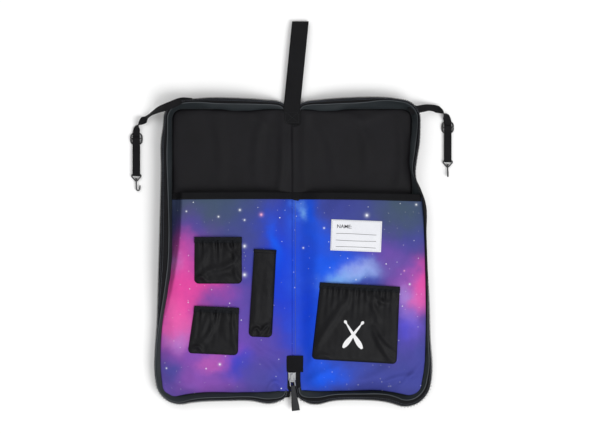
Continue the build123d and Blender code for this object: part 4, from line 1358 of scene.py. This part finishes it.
UPPER = Patch("upper_pocket", (-110.5, -15.5), 71.0, 72.0, 70.0, 0.0, 6.5, [
    ((30, 20), (34, -6), (-4, -14), 5.5, 3.4), ((-4, -10), (-22, -18), (-30, -31), 5.0, 2.6),
    ((34, -31), (24, -24), (27, -8), 4.5, 3.0), ((-34, -30), (-26, -18), (-18, -31), 3.6, 3.0),
    ((-12, 22), (-20, 8), (-26, -6), 5.0, 1.6), ((14, 24), (22, 14), (30, 0), 4.0, 1.8),
    ((4, -30), (10, -20), (24, -28), 5.0, 1.4)])
LOWER = Patch("lower_pocket", (-114.0, -120.5), 67.0, 76.0, 71.5, -2.5, 6.0, [
    ((-14, 24), (-16, 4), (-24, -14), 5.5, 2.6), ((-2, 22), (-2, 0), (-24, -24), 5.0, 2.8),
    ((20, 24), (26, 0), (34, -30), 5.5, 2.6), ((-36, -30), (-24, -18), (-20, -33), 3.6, 3.2),
    ((10, 20), (12, -4), (30, -20), 6.0, 1.6), ((-30, 20), (-28, 0), (-34, -16), 4.5, 1.3)], shift=-3.0)
PEN = Patch("pen_pocket", (-42.8, -64.8), 33.5, 35.5, 131.5, -2.4, 0, [
    ((-14, -60), (-8, -44), (-3, -60), 2.8, 3.0), ((-4, -62), (4, -48), (10, -46), 2.8, 2.8),
    ((8, -60), (14, -54), (13, -40), 2.6, 2.2), ((-13, 20), (-8, -10), (-12, -44), 5.0, 1.2)], shift=-2.0)
LARGE = Patch("large_pocket", (98.5, -109.5), 120.0, 128.5, 116.0, -3.2, 12.5, [
    ((-12, 44), (-36, 10), (-58, -34), 6.5, 3.4), ((8, 46), (26, 26), (30, 6), 5.0, 2.4),
    ((18, 44), (34, 30), (44, 34), 4.5, 2.4), ((24, -6), (34, -34), (56, -54), 5.0, 3.8),
    ((34, -20), (44, -34), (60, -44), 4.0, 2.6), ((-60, -54), (-48, -46), (-36, -56), 4.0, 1.8),
    ((-30, 40), (-40, 26), (-50, 2), 6.0, 1.6), ((48, 40), (54, 20), (56, -8), 6.0, 1.6)], shift=-2.5)
for patch, side in ((UPPER, LEFT), (LOWER, LEFT), (PEN, LEFT), (LARGE, RIGHT)):
    nodes = [f"{patch.name}_hem"] + ([f"{patch.name}_elastic"] if patch.gathers else [])
    made = make_patch(patch, side, nodes)
    print("made", made.name)

# %% [markdown]
# The large pocket carries a small transfer print of two crossed drum sticks. It is a thin strip laid through
# the pocket's own surface, so it wrinkles with the cloth. The name label is stiff white cloth sewn flat.

# %% Crossed sticks print and name label
STICK_LENGTH, CROSSING = 50, (-6, -17)


def make_sticks_print():
    """Two sticks: a tapering shaft, a narrow neck and a rounded tip."""
    girth = through([(0, 1.4), (0.04, 2.3), (0.5, 2.2), (0.8, 1.3), (0.88, 1.0), (0.93, 2.1), (0.97, 2.0),
                     (1.0, 0.5)])
    points, faces, cuts = [], [], []
    for angle in (55.0, 125.0):
        t, w = np.linspace(0, 1, 70)[:, None], np.linspace(-1, 1, 9)[None, :]
        along, across = (t - 0.5) * STICK_LENGTH + 0 * w, girth(t[:, 0])[:, None] * w
        u, v = turned(along, across, radians(angle), CROSSING)
        b = (LARGE.tall / 2 - v) / LARGE.tall
        half = (LARGE.mouth + (LARGE.bottom - LARGE.mouth) * b) / 2
        a = (u - LARGE.shift * b) / half
        rise = 0.16 + (0.08 if angle > 90 else 0)
        surface, cut = LARGE.surface(a, b, rise)
        faces += [[k + len(points) for k in f] for f in grid_faces(*surface.shape[:2], flip=True)]
        points += surface.reshape(-1, 3).tolist()
        cuts += cut.reshape(-1, 2).tolist()
    piece = new_piece("sticks_print", points, faces, PRINT, cuts)
    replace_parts(piece, "crossed_sticks_print")
    return on_body(piece, "right_half")


LABEL_MIDDLE, LABEL_SIZE, LABEL_TURN = (96.0, 21.5), (76.0, 46.5), radians(-2.2)


def label_place(u, v, lift):
    """A point of the label, u across and v up from its middle."""
    x, y = turned(u, v, LABEL_TURN, LABEL_MIDDLE)
    edge = smooth_step(np.maximum(np.abs(u) / LABEL_SIZE[0], np.abs(v) / LABEL_SIZE[1]), 0.44, 0.5)
    return np.stack([x, y, pocket_height(x, y) + 0.75 + lift - 0.2 * edge], -1)


def make_label():
    wide, tall = LABEL_SIZE
    u, v = np.meshgrid(np.linspace(-0.5, 0.5, 40) * wide, np.linspace(-0.5, 0.5, 26) * tall)
    piece = lay_cloth("name_label_cloth", label_place(u, v, 0.0), np.stack([u, v], -1), LABEL, 0.35)
    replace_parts(piece, "name_label")
    on_body(piece, "right_half")
    points, faces = [], []
    for v in (2.4, -7.6, -17.2):
        u, across = np.meshgrid(np.linspace(-30, 30, 60), [-0.3, 0.3])
        row = label_place(u, v + across + 0.3 * np.sin(u / 14 + v), 0.07)
        faces += [[k + len(points) for k in f] for f in grid_faces(2, 60)]
        points += row.reshape(-1, 3).tolist()
    on_body(new_piece("label_rules", points, faces, INK), "right_half")
    words = bpy.data.curves.new("label_heading", "FONT")
    words.body, words.size, words.extrude, words.offset = "NAME:", 7.6 * MM, 0.04 * MM, 0.00005
    words.materials.append(INK)
    heading = bpy.data.objects.new("label_heading", words)
    bpy.context.scene.collection.objects.link(heading)
    start = label_place(np.array(-29.5), np.array(10.6), 0.1)
    heading.location = (start * MM).tolist()
    heading.rotation_euler = (0, 0, LABEL_TURN)
    on_body(heading, "right_half")
    edge, inset = [], 1.6
    for sign in (-1, 1):
        u, v = np.linspace(-0.475, 0.475, 50) * wide, np.linspace(-0.455, 0.455, 50) * tall
        edge.append(label_place(u, np.full(50, sign * (tall / 2 - inset)), 0.1))
        edge.append(label_place(np.full(50, sign * (wide / 2 - inset)), v, 0.1))
    on_body(sew("label_stitches", edge, THREAD_WHITE, 0.24, 2.2), "right_half")


make_sticks_print()
make_label()
print("label and print are on")

# %% [markdown]
# ## Handle
# The handle is one length of wide webbing folded into a loop. Both ends are sewn on a patch inside the
# spine's upper end with a boxed cross of stitches, and the loop lies flat beyond the bag. It is one band
# carried along a path, and it bends at the bag's edge where the handle swings.

# %% Handle
PIVOT = joint_mm("handle_swing")
HANDLE_TURN = radians(-5.7)
WEB_WIDTH, WEB_THICK = 25.0, 1.3
HANDLE_REACH = box_mm("handle_loop")[1][1] - PIVOT[1] - 1.3
TAIL_LOW = box_mm("handle_tails")[0]
PATCH_LOW, PATCH_HIGH = box_mm("handle_patch")


def handle_place(path):
    """Turns a path (along the handle, height) about its pivot; the sewn part inside stays straight."""
    path = np.asarray(path, float)
    bend = smooth_step(path[:, 0], -6, 10)
    along = path[:, 0]
    x = PIVOT[0] - np.sin(HANDLE_TURN) * along * bend
    return np.stack([x, PIVOT[1] + along * (1 - bend * (1 - cos(HANDLE_TURN))), path[:, 1]], -1)


def make_handle():
    tail = TAIL_LOW[1] - PIVOT[1]
    stops = [(tail, 5.5), (-18, 5.5), (-4, 5.6), (8, 4.6), (20, 2.2), (45, 1.6), (90, 1.6),
             (HANDLE_REACH - 5, 1.6), (HANDLE_REACH - 0.6, 2.2), (HANDLE_REACH, 4.0),
             (HANDLE_REACH - 1.4, 5.8), (HANDLE_REACH - 7, 6.9), (90, 8.6), (55, 8.4), (22, 7.2),
             (6, 7.3), (-4, 7.0), (-18, 6.9), (tail + 1.5, 6.8)]
    path = handle_place(bend_through(stops, 190))
    band = sweep("handle_webbing", path, (1, 0, 0), band_section(WEB_WIDTH, WEB_THICK), WEBBING)
    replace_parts(band, "handle_tails", "handle_loop")
    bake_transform(band)

    half, low, high, corner = (PATCH_HIGH[0] - PATCH_LOW[0]) / 2, PATCH_LOW[1], END_Y - 1, 10
    x, y = np.meshgrid(np.linspace(-1, 1, 26) * half, np.linspace(low, high, 36))
    u, y = round_corner(np.abs(x), y, half - corner, low + corner, -1)
    points = np.stack([np.sign(x) * u, y, np.full_like(x, LINING_TOP + 0.95)], -1)
    patch = lay_cloth("handle_backing", points, points[..., :2], BINDING, 0.6)
    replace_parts(patch, "handle_patch")
    on_body(patch, "spine")

    turn = np.linspace(pi, 2 * pi, 30)
    inset = half - 1.6
    ring = [(inset * cos(t), low + 11 + 9.4 * sin(t)) for t in turn]
    ring = [(-inset, high), *ring, (inset, high)]
    rows = [np.array([(px, py, LINING_TOP + 1.1) for px, py in ring])]
    box_half, box_low, box_high = 9.8, TAIL_LOW[1] + 2.4, TAIL_LOW[1] + 18
    corners = [(-box_half, box_low), (box_half, box_low), (box_half, box_high), (-box_half, box_high)]
    lines = [(corners[k], corners[(k + 1) % 4]) for k in range(4)]
    for (x0, y0), (x1, y1) in lines + [(corners[0], corners[2]), (corners[1], corners[3])]:
        t = np.linspace(0, 1, 12)
        rows.append(np.stack([x0 + (x1 - x0) * t, y0 + (y1 - y0) * t, np.full(12, 7.5)], -1))
    on_body(sew("handle_stitches", rows, THREAD_BLACK, 0.32), "spine")


make_handle()
print(f"the handle reaches {HANDLE_REACH:.0f} mm beyond its pivot")

# %% [markdown]
# ## Shut end of the zipper
# At the spine's lower end both zipper tapes come together in the slider. Above it the rows of coil mesh and
# vanish under a sewn patch; below it they part in a V, towards the two walls. The tapes are thin grids, and
# every row of coil is a fine wire wound round the tape's edge.

# %% Zipper end, patch and slider pull
TAPE_LOW, TAPE_HIGH = box_mm("zipper_end_tape")
COVER_LOW, COVER_HIGH = box_mm("zipper_end_patch")
COVER_X = 2.6  # the cover is sewn a little to the right
TAPE_Z, V_TOP = box_mm("zipper_end_coil")[0][2], box_mm("slider")[0][1] + 5.0
TAPE_END_Y = TAPE_LOW[1] - 9.0


def parting(y):
    """Half the gap between the two rows of coil."""
    return 0.15 + 3.6 * smooth_step(V_TOP - y, 0, 34)


def tape_height(y):
    return TAPE_Z - 2.4 * smooth_step(-y, 206, 222)


def make_zipper_end():
    y = np.linspace(TAPE_HIGH[1], TAPE_END_Y, 46)[:, None]
    for side in (LEFT, RIGHT):
        across = np.linspace(0, 1, 9)[None, :]
        x = parting(y) + 0.4 + (12.2 - parting(y) * 0.35) * across
        height = tape_height(y) + 0.25 * np.sin(pi * across) - 0.8 * across**4
        points = np.stack([side * x, y + 0 * across, height], -1)
        tape = lay_cloth(f"{NAMES[side]}_end_tape", points, points[..., :2], TAPE, 0.5, flip=side > 0)
        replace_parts(tape, *(["zipper_end_tape"] if side < 0 else []))
        on_body(tape, "spine")
        count = int((COVER_LOW[1] - TAPE_END_Y) / 1.5 * 8)
        at = np.linspace(COVER_LOW[1], TAPE_END_Y + 0.5, count)
        turn = np.arange(count) * 2 * pi / 8
        across, rise = parting(at) + 0.75 + 0.85 * np.cos(turn), 0.55 + 0.55 * np.sin(turn)
        path = np.stack([side * across, at, tape_height(at) + rise], -1)
        coil = sweep(f"{NAMES[side]}_end_coil", path, (0, 0, 1), ring_section(0.25, 5), COIL)
        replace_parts(coil, *(["zipper_end_coil"] if side < 0 else []))
        on_body(coil, "spine")
        row = np.stack([side * (parting(y[:, 0]) + 5.6), y[:, 0], tape_height(y[:, 0]) + 0.35], -1)
        on_body(sew(f"{NAMES[side]}_end_stitches", [row], THREAD_GREY, 0.18, 2.0), "spine")
    u, v = np.meshgrid(np.linspace(-1, 1, 24), np.linspace(-1, 1, 22))
    half, tall = (COVER_HIGH[0] - COVER_LOW[0]) / 2 + 1, (COVER_HIGH[1] - COVER_LOW[1]) / 2
    middle_y = (COVER_HIGH[1] + COVER_LOW[1]) / 2
    dome = 0.9 * (1 - u**4) * (1 - v**4) + 0.5 * np.exp(-((u / 0.16) ** 2))
    points = np.stack([u * half + COVER_X, middle_y + v * tall, COVER_HIGH[2] - 0.5 + dome * 0.8], -1)
    cover = lay_cloth("zip_end_cover", points, points[..., :2], BINDING, 0.7)
    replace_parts(cover, "zipper_end_patch")
    on_body(cover, "spine")
    edge, inset, t = [], 1.8, np.linspace(-0.88, 0.88, 30)
    for sign in (-1, 1):
        level, upright = np.full(30, sign * (tall - inset)), np.full(30, sign * (half - inset))
        for ex, ey in ((t * half, level), (upright, t * tall)):
            edge.append(np.stack([ex + COVER_X, ey + middle_y, np.full(30, COVER_HIGH[2] + 0.05)], -1))
    on_body(sew("zip_end_cover_stitches", edge, THREAD_BLACK, 0.26), "spine")


TAB_START, TAB_LENGTH, TAB_TURN = 11.1, 38.0, radians(7.0)
TAB_HALF, TAB_FLARE, TAB_THICK = 3.2, 2.9, 1.9


def tab_half(share):
    """Half the tab's width, which grows towards its free end."""
    return TAB_HALF + TAB_FLARE * smooth_step(share, 0, 1.05)


def tab_rise(share):
    """Half the tab's thickness, most at the fold round the link."""
    return TAB_THICK * (1 - 0.35 * smooth_step(share, 0.05, 0.3))


def tab_along(share):
    return -(TAB_START + TAB_LENGTH * share) + 1.2


def make_pull_tab():
    """A tape folded through the link, wider towards its free end, with a bound end."""
    joint = joint_mm("pull_swing")
    along = np.linspace(0, 1, 40)[:, None]
    section = np.linspace(0, 2 * pi, 25)[None, :-1]
    thick = tab_rise(along) - 0.5 * smooth_step(along, 0.97, 1.0)
    across = tab_half(along) * np.sign(np.cos(section)) * np.abs(np.cos(section)) ** 0.35
    up = thick * np.sign(np.sin(section)) * np.abs(np.sin(section)) ** 0.55
    v = tab_along(along) + 0 * section
    points = np.stack([*turned(across, v, TAB_TURN, joint), joint[2] + up], -1)
    rows, cols = points.shape[:2]
    faces = grid_faces(rows, cols, wrap=True, flip=True)
    faces += [list(range(cols)), [(rows - 1) * cols + j for j in range(cols)][::-1]]
    cut = np.stack(np.broadcast_arrays(across, v), -1)
    tab = new_piece("pull_tab_webbing", points, faces, PULL_CLOTH, cut)
    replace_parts(tab, "pull_tab")
    on_body(tab, "zipper_pull")
    edge = []
    for sign in (-1, 1):
        t = np.linspace(0.1, 0.94, 30)
        x, y = turned(sign * (tab_half(t) - 1.1), tab_along(t), TAB_TURN, joint)
        edge.append(np.stack([x, y, joint[2] + tab_rise(t) - 0.12], -1))
    on_body(sew("pull_tab_stitches", edge, THREAD_BLACK, 0.22, 2.2), "zipper_pull")


make_zipper_end()
make_pull_tab()
print("zipper end, patch and pull are on")

# %% [markdown]
# ## Hanging straps
# Two narrow straps hang the bag on a drum's rim. Each starts over the zipper at its corner, twists on the
# way down to a wire adjuster, and ends in doubled webbing that holds a wire loop and a hook. The webbing is
# carried along a line through given points, and the direction across it turns with the twist.

# %% Straps
STRAP_WIDTH, STRAP_THICK, PIVOT_Z = 11.2, 1.0, 5.0
STRAPS = {
    LEFT: dict(
        route=[(-150, 226.2, 20.5), (-160, 225.4, 22.5), (-170, 221.4, 26.2), (-180, 216.8, 28.0),
               (-189, 213.4, 26.2), (-197, 211.3, 19.5), (-205, 208.4, 12.6), (-211.5, 204.6, 8.2),
               (-218, 199.8, 5.6), (-225, 193.6, 5.8), (-231.4, 187, 5.4), (-234.4, 179, 3.6),
               (-234.6, 167.4, 3.1), (-234.6, 150, 3.1), (-234.6, 121, 3.1)],
        across=[(0, 0.1, 1), (-0.1, 0.35, 0.9), (-0.25, 0.85, 0.45), (-0.35, 1, 0.1),
                (-0.1, 1, 0), (0.15, 1, -0.15), (0.4, 0.9, -0.25), (0.48, 0.8, -0.4),
                (0.45, 0.7, -0.35), (0.5, 0.7, 0.1), (0.55, 0.65, 0.5), (0.8, 0.4, 0.3), (1, 0.15, 0),
                (1, 0, 0), (1, 0, 0)],
        pivot=(-211.0, 206.0)),
    RIGHT: dict(
        route=[(176, 208, 14.5), (183, 210.4, 16.2), (190, 211.2, 15.8), (197, 212.6, 14.0),
               (204, 213.8, 11.0), (211.5, 213.4, 8.0), (218, 211.8, 5.6), (225, 208.2, 5.8),
               (231, 201.8, 5.4), (234.2, 194, 3.6), (234.6, 184.5, 3.1), (234.6, 165, 3.1),
               (234.6, 142, 3.1)],
        across=[(0.1, 1, 0.1), (0.05, 1, 0.05), (-0.02, 1, -0.1), (-0.08, 1, -0.25), (-0.12, 0.9, -0.4),
                (-0.15, 0.85, -0.3), (-0.3, 0.8, 0.15), (-0.5, 0.7, 0.5), (-0.75, 0.45, 0.35), (-1, -0.15, 0),
                (-1, 0, 0), (-1, 0, 0), (-1, 0, 0)],
        pivot=(211.0, 213.5)),
}


def make_strap(side):
    strap, name = STRAPS[side], NAMES[side]
    line = np.array(strap["route"], float)
    both = bend_through(np.hstack([line, np.array(strap["across"], float) * 0.01]), 170)
    section = band_section(STRAP_WIDTH, STRAP_THICK)
    band = sweep(f"{name}_strap_webbing", both[:, :3], both[:, 3:] * 100, section, WEBBING)
    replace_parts(band, f"{name}_strap", f"{name}_strap_tab")
    x, y = strap["pivot"]
    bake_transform(band)


def make_doubled_webbing(side):
    """One band from under the adjuster's bar, down round the wire loop and back up over the bar."""
    name = NAMES[side]
    low, high = box_mm(f"{name}_doubled_webbing")
    ring_low, ring_high = box_mm(f"{name}_adjuster")
    x, bar_y = (low[0] + high[0]) / 2, (ring_low[1] + ring_high[1]) / 2
    bar_z = ring_high[2] - 1.0
    upper, lower = 4.25, 0.8
    fold_y = low[1]
    stops = [(bar_y - 10.5, lower), (bar_y - 22, lower), (fold_y + 12, lower), (fold_y + 3.2, lower),
             (fold_y + 0.9, 1.4), (fold_y + 0.4, (upper + lower) / 2), (fold_y + 0.9, 3.6),
             (fold_y + 3.2, upper), (fold_y + 12, upper), (bar_y - 18, upper), (bar_y - 9, upper),
             (bar_y - 3, bar_z + 1.1), (bar_y, bar_z + 1.75),
             (bar_y + 1.6, bar_z + 0.8), (bar_y + 1.75, bar_z - 0.3), (bar_y + 0.4, bar_z - 1.55)]
    line = bend_through(stops, 150)
    path = np.stack([np.full(len(line), x), line[:, 0], line[:, 1]], -1)
    band = sweep(f"{name}_doubled_strap", path, (1, 0, 0), band_section(STRAP_WIDTH, STRAP_THICK), WEBBING)
    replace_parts(band, f"{name}_doubled_webbing")
    on_body(band, f"{name}_strap_end")
    rows = []
    for y in (fold_y + 7.5, fold_y + 10.5, bar_y - 11):
        t = np.linspace(-4.6, 4.6, 12)
        rows.append(np.stack([x + t, np.full(12, y), np.full(12, upper + 0.55)], -1))
    on_body(sew(f"{name}_strap_stitches", rows, THREAD_BLACK, 0.26, 1.9), f"{name}_strap_end")


for side in (LEFT, RIGHT):
    make_strap(side)
    make_doubled_webbing(side)
print("both straps are threaded")

# %% [markdown]
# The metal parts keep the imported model's shapes, because those are exact, and only take a finish here.

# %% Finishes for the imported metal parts
def refinish(name, finish):
    materials = frame["nodes"][name].data.materials
    materials.clear()
    materials.append(finish)


for name in ("slider", "pull_link"):
    refinish(name, NICKEL)
for side in (LEFT, RIGHT):
    for part in ("adjuster", "triangle_loop", "hook"):
        refinish(f"{NAMES[side]}_{part}", BLACK_WIRE)
print("metal parts finished")

# %% [markdown]
# ## Floor, light and camera
# A pale floor and wide soft lights show black cloth without glare. The light from the lower right is
# stronger, so folds have a lit and a dark side. The camera hangs straight above, as the bag is best seen.

# %% Stage
FLOOR_REACH, FLOOR_Z = 9000, -0.6
# Lamps: name, place in metres, power in watts and size in metres
LAMPS = (("key", (1.35, -0.95, 2.1), 48, 1.5), ("fill", (-0.9, 1.5, 2.2), 14, 1.6),
         ("side", (-2.0, -1.0, 1.4), 6, 1.4))


def make_stage():
    turn = np.linspace(0, 2 * pi, 64, endpoint=False)
    rim = [(FLOOR_REACH * cos(t), FLOOR_REACH * sin(t), FLOOR_Z) for t in turn]
    floor_finish, tree, shader = new_finish("pale_floor", 0.9)
    dye = use(tree, MOTTLE, Place=cloth_place(tree, on_cut=False), Size=0.8)["Shade"]
    tree.links.new(tones(tree, dye, (0.93, 0.93, 0.93), (0.95, 0.95, 0.95)), shader.inputs["Base Color"])
    floor = new_piece("floor", rim, [list(range(64))], floor_finish)
    world = bpy.data.worlds.new("soft_room")
    world.use_nodes = True
    world.node_tree.nodes["Background"].inputs["Color"].default_value = (1, 1, 1, 1)
    world.node_tree.nodes["Background"].inputs["Strength"].default_value = 0.55
    bpy.context.scene.world = world
    for name, place, power, size in LAMPS:
        light = bpy.data.lights.new(f"{name}_light", "AREA")
        light.energy, light.size = power, size
        lamp = bpy.data.objects.new(f"{name}_light", light)
        bpy.context.scene.collection.objects.link(lamp)
        lamp.location = place
        lamp.rotation_euler = (-Vector(place)).to_track_quat("-Z", "Y").to_euler()
        lamp.visible_camera = False


VIEW_MIDDLE, VIEW_WIDTH, LENS, SENSOR = (4.5, 49.5), 885.0, 100.0, 36.0


def make_camera():
    lens = bpy.data.cameras.new("camera")
    lens.lens, lens.sensor_width = LENS, SENSOR
    camera = bpy.data.objects.new("camera", lens)
    bpy.context.scene.collection.objects.link(camera)
    away = VIEW_WIDTH * LENS / SENSOR + 14
    camera.location = (VIEW_MIDDLE[0] * MM, VIEW_MIDDLE[1] * MM, away * MM)
    bpy.context.scene.camera = camera
    print(f"the camera is {away:.0f} mm above the bag")


make_stage()
make_camera()
bpy.context.scene.view_settings.view_transform = "Standard"
